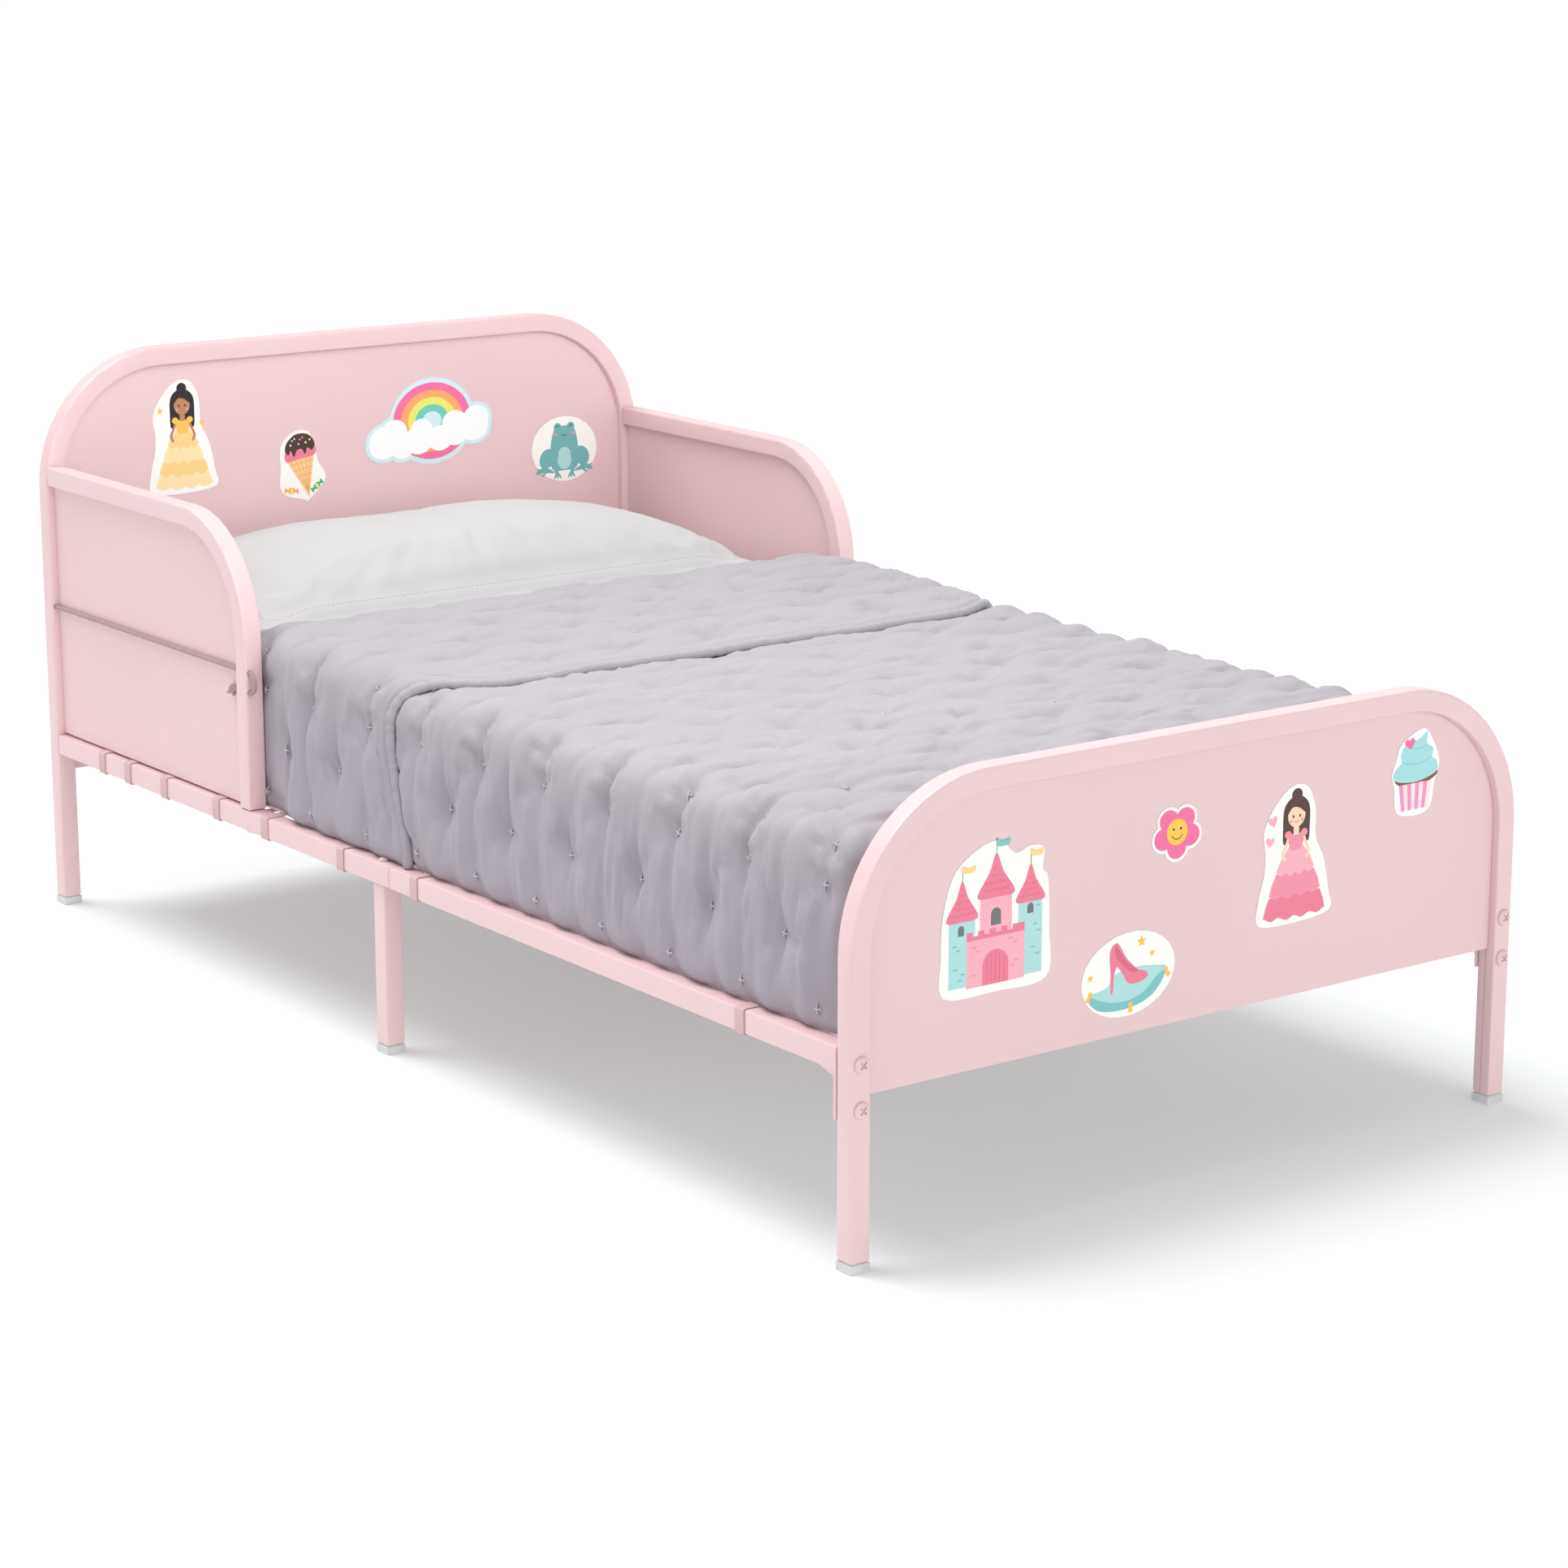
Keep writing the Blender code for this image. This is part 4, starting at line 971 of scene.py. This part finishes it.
def pillow_skins():
    """The pillowcase's upper and lower skins on shared faces, with a flat flange round the filled part."""
    low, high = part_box("pillow")
    front, rear = low.y - 0.020, high.y - 0.002
    xs, ys = even(low.x, high.x, 0.0058), even(front, rear, 0.0056)
    grid = np.array([(x, y) for y in ys for x in xs])
    half_x, half_y = high.x - PILLOW_FLANGE, (rear - front) / 2 - PILLOW_FLANGE
    middle_y = (front + rear) / 2
    u = np.abs(grid[:, 0]) / half_x
    v = np.abs(grid[:, 1] - middle_y) / half_y
    flat = np.concatenate([grid, np.zeros((len(grid), 1))], 1)
    slow = smooth_noise(flat, 4.5, 2, 1.0)
    medium = smooth_noise(flat * (1, 1.6, 1), 13.0, 2, 6.0)
    fill = np.clip(1 - u**3.4, 0, 1) ** 0.80 * np.clip(1 - v**2.7, 0, 1) ** 0.62
    near_seam = fill * (1 - fill) * 4
    around = np.arctan2((grid[:, 1] - middle_y) / half_y, grid[:, 0] / half_x)
    gathers = np.sin(around * 34 + 3 * slow) * np.sin(around * 13 + 1) * near_seam
    base = low.z + 0.0003
    corner = ease(u, 0.80, 1.0) * ease(v, 0.80, 1.0)
    seam = base + 0.0215 - 0.010 * corner
    inside = np.maximum(u, v) < 1
    beyond = np.maximum(0, np.maximum((u - 1) * half_x, (v - 1) * half_y)) / PILLOW_FLANGE
    wavy = 0.0016 * smooth_noise(flat, 24.0, 2, 9.0)
    hang = seam - (seam - base - 0.0060) * ease(beyond, 0.0, 0.95)
    hang += np.maximum(wavy, -0.0006) * ease(beyond, 0.2, 1)
    lift = (0.0485 + 0.0045 * slow - 0.004 * ease(grid[:, 0] / half_x, 0.2, 1.0)) * fill
    upper = np.where(inside, seam + lift + 0.0007 * gathers + 0.0014 * medium * fill, hang)
    lower = np.where(inside, np.maximum(base, seam - 0.030 * fill), hang - PILLOW_CLOTH)
    upper = np.maximum(upper, lower + PILLOW_CLOTH)
    top, bottom = (np.concatenate([grid, height[:, None]], 1) for height in (upper, lower))
    return top, bottom, grid_faces(len(xs), len(ys)), inside, (half_x, half_y, middle_y)


def make_pillow(fabric):
    top, bottom, faces, inside, (half_x, half_y, middle_y) = pillow_skins()
    cloth = {"pressure": 0.5, "frames": 14, "most": 0.0030, "growth": 0.012, "bending": 0.10}
    top = relax(top, faces, np.flatnonzero(~inside), **cloth)
    top[:, 2] = np.maximum(top[:, 2], bottom[:, 2] + PILLOW_CLOTH)
    case = make_piece(
        "pillow_case", *thick_sheet(top, bottom, faces), fabric, "pillow_body", "white_cotton", ["pillow"]
    )

    tree = kdtree.KDTree(len(top))
    for i, point in enumerate(top):
        tree.insert((point[0], point[1], 0), i)
    tree.balance()
    ring = rounded_loop(half_x + 0.0035, half_y + 0.0035, 0.012, 0.0052)
    stitches = []
    for a, b in zip(ring, ring[1:] + ring[:1]):
        ends = []
        for t in (0.12, 0.40, 0.68):
            x, y = a[0] + (b[0] - a[0]) * t, middle_y + a[1] + (b[1] - a[1]) * t
            near = [(top[i][2], 1 / max(distance, 1e-5)) for _, i, distance in tree.find_n((x, y, 0), 4)]
            height = sum(z * share for z, share in near) / sum(share for _, share in near)
            ends.append((x, y, height + 0.0001))
        stitches.append(tube_along(ends, STITCH_RADIUS, 5))
    make_piece("pillow_stitching", *merge(*stitches), fabric, "pillow_body", "white_cotton")


# ---------------------------------------------------------------- lacing cords


CORD_DIAMETER = 0.0046
PLAIT_LENGTH = 0.0085


def smooth_route(points, per_span):
    """A smooth curve through the route's points; each handle is a third of its own span."""
    route = []
    count = len(points)
    for i in range(count - 1):
        before, after = points[max(i - 1, 0)], points[min(i + 2, count - 1)]
        start, end = points[i], points[i + 1]
        reach = (end - start).length / 3
        handle_a = start + reach * (end - before).normalized()
        handle_b = end - reach * (after - start).normalized()
        route += interpolate_bezier(start, handle_a, handle_b, end, per_span + 1)[:-1]
    return [*route, points[-1]]


def cord_route(side, sign):
    """Taut from the headboard post to the guard's upright, out through it, down and back to the knot."""
    low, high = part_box(f"guard_cord_{side}")
    upper, drop = high.z - CORD_DIAMETER / 2, 0.020
    lower = upper - drop
    loop_end = low.y + CORD_DIAMETER / 2
    rim = loop_end + 0.011
    rear, post = rim + 0.020, high.y - 0.010
    places = [(post, upper), ((post + rear) / 2, upper), (rear, upper), (rim, upper)]
    places += [(rim - 0.0055, upper - 0.0008), (rim - 0.01045, upper - 0.0055), (loop_end, upper - drop / 2)]
    places += [(rim - 0.01045, lower + 0.0055), (rim - 0.0055, lower + 0.0008), (rim, lower), (rear, lower)]
    places += [(rear + 0.0085, lower - 0.001), (rear + 0.0225, lower - 0.006)]
    route = [Vector((sign * 0.3705, y, z)) for y, z in places]
    route[-2].x += sign * 0.0008
    return route


def make_cord(side, sign, braid):
    """A braided cord as a mesh tube, with its knot beside it as a piece of its own."""
    route = cord_route(side, sign)
    step = 0.0009
    path, length = even_path(smooth_route(route, 12), step)

    def plait(i, angle):
        along = i * step * 2 * math.pi / PLAIT_LENGTH
        return 0.95 + 0.055 * (math.cos(3 * angle + along) * math.cos(3 * angle - along))

    points, faces = tube_along(path, CORD_DIAMETER / 2, 16, ripple=plait)
    node = f"guard_cord_{side}"
    cord = make_piece(f"lacing_cord_{side}", points, faces, braid, "frame", "mauve_cord", [node])
    t = np.linspace(0, 2 * math.pi, 73)[:-1]
    flat_y, flat_z = np.sin(t) + 2 * np.sin(2 * t), np.cos(t) - 2 * np.cos(2 * t)
    trefoil = np.stack([-0.0013 * np.sin(3 * t), 0.00155 * flat_y, 0.00155 * flat_z], 1)
    knot_line = trefoil + np.array(route[-2]) + (0, 0.0025, -0.0005)
    knot = tube_along(knot_line, 0.0019, 12, closed=True)
    knot = make_piece(f"cord_knot_{side}", *knot, braid, "frame", "mauve_cord")


# ---------------------------------------------------------------- stickers, drawn in millimetres


INKS = {  # in sRGB, 0 to 255
    "paper": (252, 252, 246), "white": (255, 255, 255), "ice": (208, 236, 241), "pink": (248, 175, 190),
    "rose": (243, 146, 168), "deep_rose": (236, 126, 150), "dark_rose": (222, 102, 132),
    "hot_pink": (243, 113, 160), "candy": (243, 145, 195), "blush": (252, 228, 228), "teal": (175, 220, 220),
    "mid_teal": (125, 195, 195), "frog": (115, 180, 180), "mint": (112, 203, 180), "icing": (165, 220, 222),
    "icing_line": (130, 190, 194), "gold": (250, 195, 90), "cream_gold": (250, 212, 140),
    "pale_gold": (253, 228, 172), "cone": (253, 205, 145), "cone_line": (226, 160, 92),
    "orange": (253, 168, 105), "lemon": (235, 232, 110), "sun_yellow": (252, 200, 75),
    "leaf": (70, 180, 120), "cocoa": (75, 55, 45), "cake": (130, 90, 60), "hair": (84, 60, 56),
    "dark_hair": (44, 38, 40), "skin": (249, 214, 184), "tan_skin": (190, 132, 92), "grey": (115, 115, 115),
    "ink": (60, 50, 50),
}
FILM_THICKNESS = 0.00012
INK_STEP = 0.00002


def lean(x, y, turn, outline):
    """The outline turned by some degrees and moved to a place."""
    c, s = math.cos(math.radians(turn)), math.sin(math.radians(turn))
    return [(x + px * c - py * s, y + px * s + py * c) for px, py in outline]


def ellipse(x, y, rx, ry=None, turn=0.0, sides=28):
    turns = [2 * math.pi * k / sides for k in range(sides)]
    return lean(x, y, turn, [(rx * math.cos(a), (ry or rx) * math.sin(a)) for a in turns])


def rect(x0, y0, x1, y1):
    return [(x0, y0), (x1, y0), (x1, y1), (x0, y1)]


def bar(x0, y0, x1, y1, width):
    """A straight line with a width."""
    long = math.hypot(x1 - x0, y1 - y0)
    nx, ny = -(y1 - y0) / long * width / 2, (x1 - x0) / long * width / 2
    return [(x0 + nx, y0 + ny), (x0 - nx, y0 - ny), (x1 - nx, y1 - ny), (x1 + nx, y1 + ny)]


def blob(*numbers, steps=6):
    """A closed smooth outline through places, given as x, y, x, y and so on."""
    p = np.array(numbers, float).reshape(-1, 2)
    t = (np.arange(steps) / steps)[:, None]
    made = []
    for i in range(len(p)):
        a, b, c, d = p[i - 1], p[i], p[(i + 1) % len(p)], p[(i + 2) % len(p)]
        cubic = 2 * b + (c - a) * t + (2 * a - 5 * b + 4 * c - d) * t**2 + (3 * b - a - 3 * c + d) * t**3
        made += [tuple(place) for place in cubic / 2]
    return made


def pair(sign, *numbers):
    """A blob, or its mirror image where the sign is negative."""
    return blob(*(number * sign if k % 2 == 0 else number for k, number in enumerate(numbers)))


def star(x, y, r):
    turns = [(math.pi / 2 + math.pi * k / 5, r * (0.45 if k % 2 else 1)) for k in range(10)]
    return [(x + far * math.cos(a), y + far * math.sin(a)) for a, far in turns]


def heart(x, y, r, turn=0.0):
    made = []
    for t in (2 * math.pi * k / 28 for k in range(28)):
        rise = 13 * math.cos(t) - 5 * math.cos(2 * t) - 2 * math.cos(3 * t) - math.cos(4 * t)
        made.append((r * math.sin(t) ** 3, r * rise / 16))
    return lean(x, y, turn, made)


def arch(x, y, half, height):
    """A doorway: straight sides under a half round."""
    turns = np.linspace(0, math.pi, 13)
    top = [(x + half * math.cos(a), y + height - half + half * math.sin(a)) for a in turns]
    return [(x - half, y), (x + half, y), *top]


def curve_line(x, y, rx, ry, start, end, width=0.8, steps=12):
    """Part of an ellipse's line, with a width."""
    turns = np.radians(np.linspace(start, end, steps))
    line = [(a, width / 2) for a in turns] + [(a, -width / 2) for a in turns[::-1]]
    return [(x + (rx + w) * math.cos(a), y + (ry + w) * math.sin(a)) for a, w in line]


def flounce(half_top, half_bottom, top, bottom, wave=1.5, waves=4):
    """A tier of a gown: it swells towards its lower edge, which runs in waves."""
    hang = 0.10 * (top - bottom)
    lower = []
    for t in np.linspace(0, 1, 8 * waves + 1):
        ripple = wave * math.cos(2 * math.pi * waves * t)
        lower.append((half_bottom * (1 - 2 * t), bottom - hang * math.sin(math.pi * t) + ripple))
    middle, level = 0.34 * half_top + 0.66 * half_bottom, (top + bottom) / 2
    return [*lower, (-middle, level), (-half_top, top), (half_top, top), (middle, level)]


def castle():
    art = [
        ("paper", blob(-55, -62, 0, -65, 55, -62, 58, -20, 56, 24, 50, 34, 51, 52, 36, 56, 20, 52, 4, 65,
                       -18, 62, -44, 44, -56, 10, -58, -25)),
        ("teal", rect(-50, -56, -22, 4)),
        ("teal", rect(24, -56, 50, 10)),
        ("pink", rect(-17, -36, 17, 20)),
        ("pink", rect(-31, -58, 31, -16)),
    ]
    for x, y, half, tall in ((-36, 3, 17, 33), (0, 19, 20, 36), (37, 9, 16, 31)):
        inner, level, tip = 0.38 * half, y + 0.55 * tall, y + tall
        roof = blob(x - half, y, x, y - 2, x + half, y, x + inner, level, x, tip, x - inner, level)
        art.append(("deep_rose", roof))
        for row in range(1, 5):
            level, wide = y + tall * row * 0.17, half * (0.84 - row * 0.15)
            tiles = [x + 5 * k for k in range(-3, 4) if abs(k) * 5 <= wide]
            art += [("dark_rose", curve_line(tile, level, 2.5, 2.0, 190, 350, 0.6, 7)) for tile in tiles]
        art.append(("grey", rect(x - 0.4, tip - 1, x + 0.4, tip + 13)))
    art += [
        ("cream_gold", blob(-36, 49, -29, 47, -22, 48, -23, 43, -30, 42, -36, 43)),
        ("mid_teal", blob(0.5, 67, 7, 65, 14, 66, 13, 61, 7, 60, 0.5, 61)),
        ("cream_gold", blob(37.4, 53, 43, 51, 50, 52, 49, 47, 43, 46, 37.4, 47)),
        ("deep_rose", rect(-31, -17, 31, -13.5)),
    ]
    art += [("deep_rose", rect(x, -14, x + 6.5, -9.5)) for x in (-31, -18.8, -6.5, 5.8, 18, 24.5)]
    art += [("grey", arch(0, -7, 5.4, 15)), ("grey", arch(-37, -11, 3.2, 9)), ("grey", arch(37, -3, 3.4, 9))]
    art.append(("deep_rose", arch(0, -58, 14, 30)))
    art += [("dark_rose", rect(x - 0.35, -58, x + 0.35, -29 - abs(x) * 0.55)) for x in (-9, -4.5, 0, 4.5, 9)]
    bricks = {
        "mid_teal": ((-46, -20), (-42, -24), (-45, -40), (-37, -45), (-40, -50), (43, 2), (40, -14),
                     (44, -20), (38, -34), (43, -40)),
        "rose": ((-25, -24), (-21, -28), (-26, -48), (14, -22), (19, -26), (20, -42), (16, -46)),
    }
    for colour, places in bricks.items():
        art += [(colour, rect(x, y, x + 4.5, y + 1.6)) for x, y in places]
    return art


def slipper():
    art = [
        ("paper", ellipse(0, 0, 52, 36.5, 4)),
        ("mid_teal", blob(-42, -13, -32, -27, 0, -30, 28, -22, 42, -2, 10, -14)),
        ("teal", blob(-42, -12, -24, -8, -14, 2, 8, 5, 28, 3, 42, 0, 30, -8, 18, -18, 0, -23, -22, -21)),
    ]
    tassel = [(-1.0, 0), (1.0, 0), (2.8, -6.6), (0, -7.2), (-2.8, -6.6)]
    for x, y, turn in ((-42, -11, -25), (42, -3, 28), (3, -27, 0)):
        art += [("gold", ellipse(x, y, 2.3)), ("gold", lean(x, y, turn, tassel))]
    return art + [
        ("deep_rose", blob(-21, 22, -15, 29, -10, 26, -2, 14, 10, 3, 20, -1, 21, -6, 12, -9, 0, -8, -7, 2,
                           -13, 8, -16, 0, -17, -13, -19.5, -13, -20, 4)),
        ("dark_rose", blob(-15, 27, -11, 23, -3, 12, 10, 2, 4, 1, -6, 8, -14, 18)),
        ("gold", star(14, 26, 5.4)),
        ("gold", star(26, 14, 3.8)),
        ("gold", star(-42, 3, 3.8)),
    ]


def flower():
    art = []
    for grow, colour in ((2.6, "white"), (0, "hot_pink")):
        for a in (math.radians(126 + 72 * k) for k in range(5)):
            place = (15.5 * math.cos(a), 13.64 * math.sin(a) - 0.5)
            art.append((colour, ellipse(*place, 10.6 + grow, 9.8 + grow)))
        art.append((colour, ellipse(0, 0, 15 + grow * 0.2)))
    art.append(("sun_yellow", ellipse(0, 0, 11.6)))
    art += [("ink", ellipse(x, 2.6, 1.2)) for x in (-4, 4)]
    return art + [("ink", curve_line(0, 0, 6.6, 6.4, 205, 335))]


def doll(hair, skin, tiers, trim):
    """A plain paper doll: round head, hair in a bun, and a tiered gown."""
    art = [
        ("paper", blob(-42, -58, 0, -61, 42, -56, 41, -38, 34, -8, 24, 12, 22, 40, 12, 59, -6, 61, -24, 48,
                       -38, 26, -36, 4, -37, -14, -43, -36)),
        (hair, ellipse(0, 53, 6.4, 5.6)),
        (hair, blob(-14, 10, -16, 26, -15, 42, -8, 50, 0, 52, 8, 50, 15, 42, 16, 26, 14, 10, 0, 20)),
    ]
    marks = np.linspace(0, 1, len(tiers) + 1)
    for index, colour in reversed(list(enumerate(tiers))):
        span = marks[index : index + 2]
        art.append((colour, flounce(*(8 + 29 * span**0.62), *(8 - 62 * span**0.9))))
    art += [(skin, ellipse(0, 22, 3.4, 7)), (trim, blob(-9.5, 20, 0, 17, 9.5, 20, 7, 6, 0, 4, -7, 6))]
    for sign in (-1, 1):
        art.append((skin, pair(sign, 9, 19, 12, 12, 17, 2, 13.5, -5, 11.6, -3, 13.4, 2, 9, 12)))
        art.append((trim, ellipse(9.6 * sign, 18.5, 4.0, 3.4)))
    return art + [
        (skin, ellipse(0, 35, 10.4, 10.8)),
        (hair, blob(-11, 36, -8, 46, 0, 48, 8, 46, 11, 36, 3, 41, -5, 42)),
        *(("ink", ellipse(x, 34, 1.1, 1.4)) for x in (-4, 4)),
        *(("rose", ellipse(x, 30, 1.7, 1.2)) for x in (-6.5, 6.5)),
        ("dark_rose", curve_line(0, 31, 2.8, 2.4, 205, 335)),
    ]


def doll_pink():
    art = doll("hair", "skin", ("pink", "rose", "deep_rose"), "rose")
    return art + [("pink", heart(-28, 33, 5.6, 14)), ("pink", heart(-31, 15, 5.2, -8))]


def doll_yellow():
    art = doll("dark_hair", "tan_skin", ("cream_gold", "pale_gold") * 2, "gold")
    return art + [("gold", star(-29, 30, 4.8)), ("gold", star(25, 14, 4.0))]


def cupcake():
    art = [
        ("white", blob(-20, -38, 16, -39, 24, -12, 29, 4, 25, 18, 14, 36, 4, 39, -18, 28, -24, 14, -29, 0,
                       -26, -12)),
        ("cake", blob(-22, -10, 0, -16, 24, -8, 25, -2, 0, -6, -24, -3)),
    ]
    for k, x in enumerate(range(-20, 20, 5)):
        pleat = [(x * 0.82, -36), ((x + 5) * 0.82, -36), (x + 5, -11), (x, -11)]
        art.append((("candy", "blush")[k % 2], pleat))
    return art + [
        ("icing", blob(-25, -6, 0, -10, 25, -4, 26, 6, 20, 11, 21, 19, 13, 25, 13, 36, 3, 30, -13, 26,
                       -19, 17, -18, 10, -26, 3)),
        ("icing_line", curve_line(0, 16, 20, 9, 215, 330)),
        ("icing_line", curve_line(2, 28, 13, 7, 210, 325)),
        ("hot_pink", heart(-8, 27, 6.2, 8)),
    ]


def candy(x, y, turn, wrapper, sweet):
    tails = [[(3 * s, 0), (8.5 * s, 3.6), (8.5 * s, -3.6)] for s in (1, -1)]
    art = [(wrapper, lean(x, y, turn, tail)) for tail in tails]
    return [*art, (wrapper, ellipse(x, y, 4.6, 3.6, turn)), (sweet, ellipse(x, y, 2.0, 3.2, turn))]


def ice_cream():
    art = [
        ("paper", blob(-26, -28, 0, -38, 8, -39, 29, -16, 20, 4, 16, 22, 8, 38, -10, 39, -26, 24, -27, 0)),
        ("cone", [(-19, 6), (15, 12), (8, -36)]),
    ]
    for t in np.linspace(0.12, 0.88, 5):
        x = -19 + 34 * t
        foot = 8 + (x - 8) * 0.06 + (0.5 - t) * 3
        art.append(("cone_line", bar(x, 6 + 6 * t, foot, -30 - 2 * t, 0.6)))
    for t in np.linspace(0.12, 0.75, 5):
        art.append(("cone_line", bar(-19 + 27 * t, 6 - 42 * t, 15 - 7 * t, 12 - 48 * t, 0.6)))
    art += [
        ("deep_rose", blob(-20, 6, -4, 8, 16, 12, 16, 24, 9, 33, -8, 33, -20, 20)),
        ("cocoa", blob(-21, 19, -17, 13, -14, 18, -10, 11, -6, 18, 0, 19, 4, 13, 7, 20, 13, 17, 16, 25,
                       8, 35, -7, 36, -18, 28)),
    ]
    sprinkles = ((-14, 24), (-9, 31), (-4, 25), (1, 32), (5, 26), (10, 29), (-12, 29), (-2, 30))
    for k, place in enumerate(sprinkles):
        art.append((("white", "lemon", "icing", "candy")[k % 4], ellipse(*place, 1.1)))
    return art + candy(-14, -27, -6, "orange", "lemon") + candy(18, -24, 38, "leaf", "lemon")


def rainbow():
    cloud = ((-58, -28, 20), (-36, -38, 15), (-60, -32, 19), (-45, -16, 16), (-14, -30, 19), (-10, -16, 14),
             (14, -30, 17), (34, -12, 17), (34, -26, 16), (58, -18, 20), (62, -8, 17))
    art = [("ice", ellipse(4, -6, 56, 58))]
    art += [("ice", ellipse(x, y, r + 5)) for x, y, r in cloud]
    for radius, colour in ((51, "hot_pink"), (41, "orange"), (31.5, "lemon"), (22, "mint"), (12.5, "ice")):
        art.append((colour, ellipse(4, -6, radius, sides=48)))
    return art + [("white", ellipse(*puff)) for puff in cloud]


def frog():
    art = [("paper", ellipse(0, 0, 44.5, 37.5, -3))]
    for sign in (-1, 1):
        art.append(("frog", ellipse(24 * sign, -10, 9.5, 12, 28 * sign)))
        art.append(("frog", pair(sign, 20, -22, 30, -20, 38, -24, 37, -27, 28, -26, 14, -27)))
        for k in (-1, 0, 1):
            art.append(("frog", ellipse((31 + 3 * k) * sign, -25 + 2.6 * k, 4.2, 1.2, 30 * k * sign)))
    art.append(("frog", blob(-17, -22, -19, 0, -15, 20, -8, 26, 8, 26, 15, 20, 19, 0, 17, -22, 0, -25)))
    art.append(("teal", ellipse(0, -11, 10, 13)))
    for sign in (-1, 1):
        art.append(("frog", ellipse(9 * sign, 25, 5.2)))
        art.append(("frog", pair(sign, 12, -2, 15, -20, 11, -31, 7.5, -30, 10, -18, 8, -4)))
        art += [("frog", ellipse((9.5 + 3 * k) * sign, -31, 1.2, 3.4, 24 * k * sign)) for k in (-1, 0, 1)]
        art.append(("ink", curve_line(9 * sign, 24.5, 2.4, 2.2, 25, 155)))
        art.append(("rose", ellipse(12 * sign, 17, 2.3, 1.7)))
    return art + [("ink", curve_line(0, 18, 3.6, 3.0, 205, 335))]


def stacked(art):
    """The level of each shape: just above every earlier one that it could touch."""
    boxes, levels = [], []
    for _, outline in art:
        (x0, x1), (y0, y1) = ((min(values), max(values)) for values in zip(*outline))
        under = [
            level
            for level, (a0, a1, b0, b1) in zip(levels, boxes)
            if x0 < a1 and a0 < x1 and y0 < b1 and b0 < y1
        ]
        boxes.append((x0, x1, y0, y1))
        levels.append(1 + max(under, default=-1))
    return levels


def make_sticker(node, art, inks):
    """Printed film as thin stacked shapes: each ink stands a hair above the one it overprints."""
    low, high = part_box(node)
    middle, back = (low + high) / 2, high.y
    points, faces, colours = [], [], []
    outer = np.max([np.max(np.abs(outline), axis=0) for _, outline in art], axis=0) * MM
    fit_x, fit_z = min(1, (high.x - middle.x) / outer[0]), min(1, (high.z - middle.z) / outer[1])
    for level, (colour, outline) in zip(stacked(art), art):
        start, count = len(points), len(outline)
        for depth in (back - FILM_THICKNESS - INK_STEP * level, back):
            points += [(middle.x + x * MM * fit_x, depth, middle.z + z * MM * fit_z) for x, z in outline]
        faces.append(tuple(range(start, start + count)))
        faces.append(tuple(range(start + count, start + 2 * count))[::-1])
        for k in range(count):
            a, b = start + k, start + (k + 1) % count
            faces.append((a, b, b + count, a + count))
        colours += [colour] * (count + 2)
    used = sorted(set(colours))
    piece = make_piece("printed_" + node, points, faces, inks[used[0]], "frame", "sticker_film", [node])
    mesh = piece.data
    mesh.shade_flat()
    for colour in used[1:]:
        mesh.materials.append(inks[colour])
    for polygon, colour in zip(mesh.polygons, colours):
        polygon.material_index = used.index(colour)


def make_stickers():
    """Ink on satin film with a faint print grain, and one sticker for each drawing."""
    inks = {}
    for name, rgb in INKS.items():
        colour = tuple((c / 255) ** 2.2 for c in rgb)
        relief = [(500, 2, 0.00002, 0.4)]
        inks[name] = noise_finish(
            "ink_" + name, colour, 0.42, (1500, 2, 0.025), (240, 2, 0.04), relief, Specular_IOR_Level=0.4
        )
    for design in (castle, slipper, flower, doll_pink, cupcake, doll_yellow, ice_cream, rainbow, frog):
        make_sticker("sticker_" + design.__name__, design(), inks)


def main():
    make_camera()
    braid = cord_braid()
    for side, sign in (("left", -1), ("right", 1)):
        make_cord(side, sign, braid)
    make_light()
    make_floor()
    finish_cad_nodes()
    make_mattress()
    make_fitted_sheet(cotton("white_cotton", WHITE, 900.0, 0.0008))
    weave = webbing_weave()
    for number in range(1, 9):
        make_strap(number, weave)
    make_deck(cotton("deck_cloth", DECK_PINK, 900.0, 0.0005))
    make_quilt(quilted_cotton(), quilting_thread())
    make_pillow(cotton("pillow_cotton", WHITE, 1100.0, 0.0012))
    make_stickers()


main()
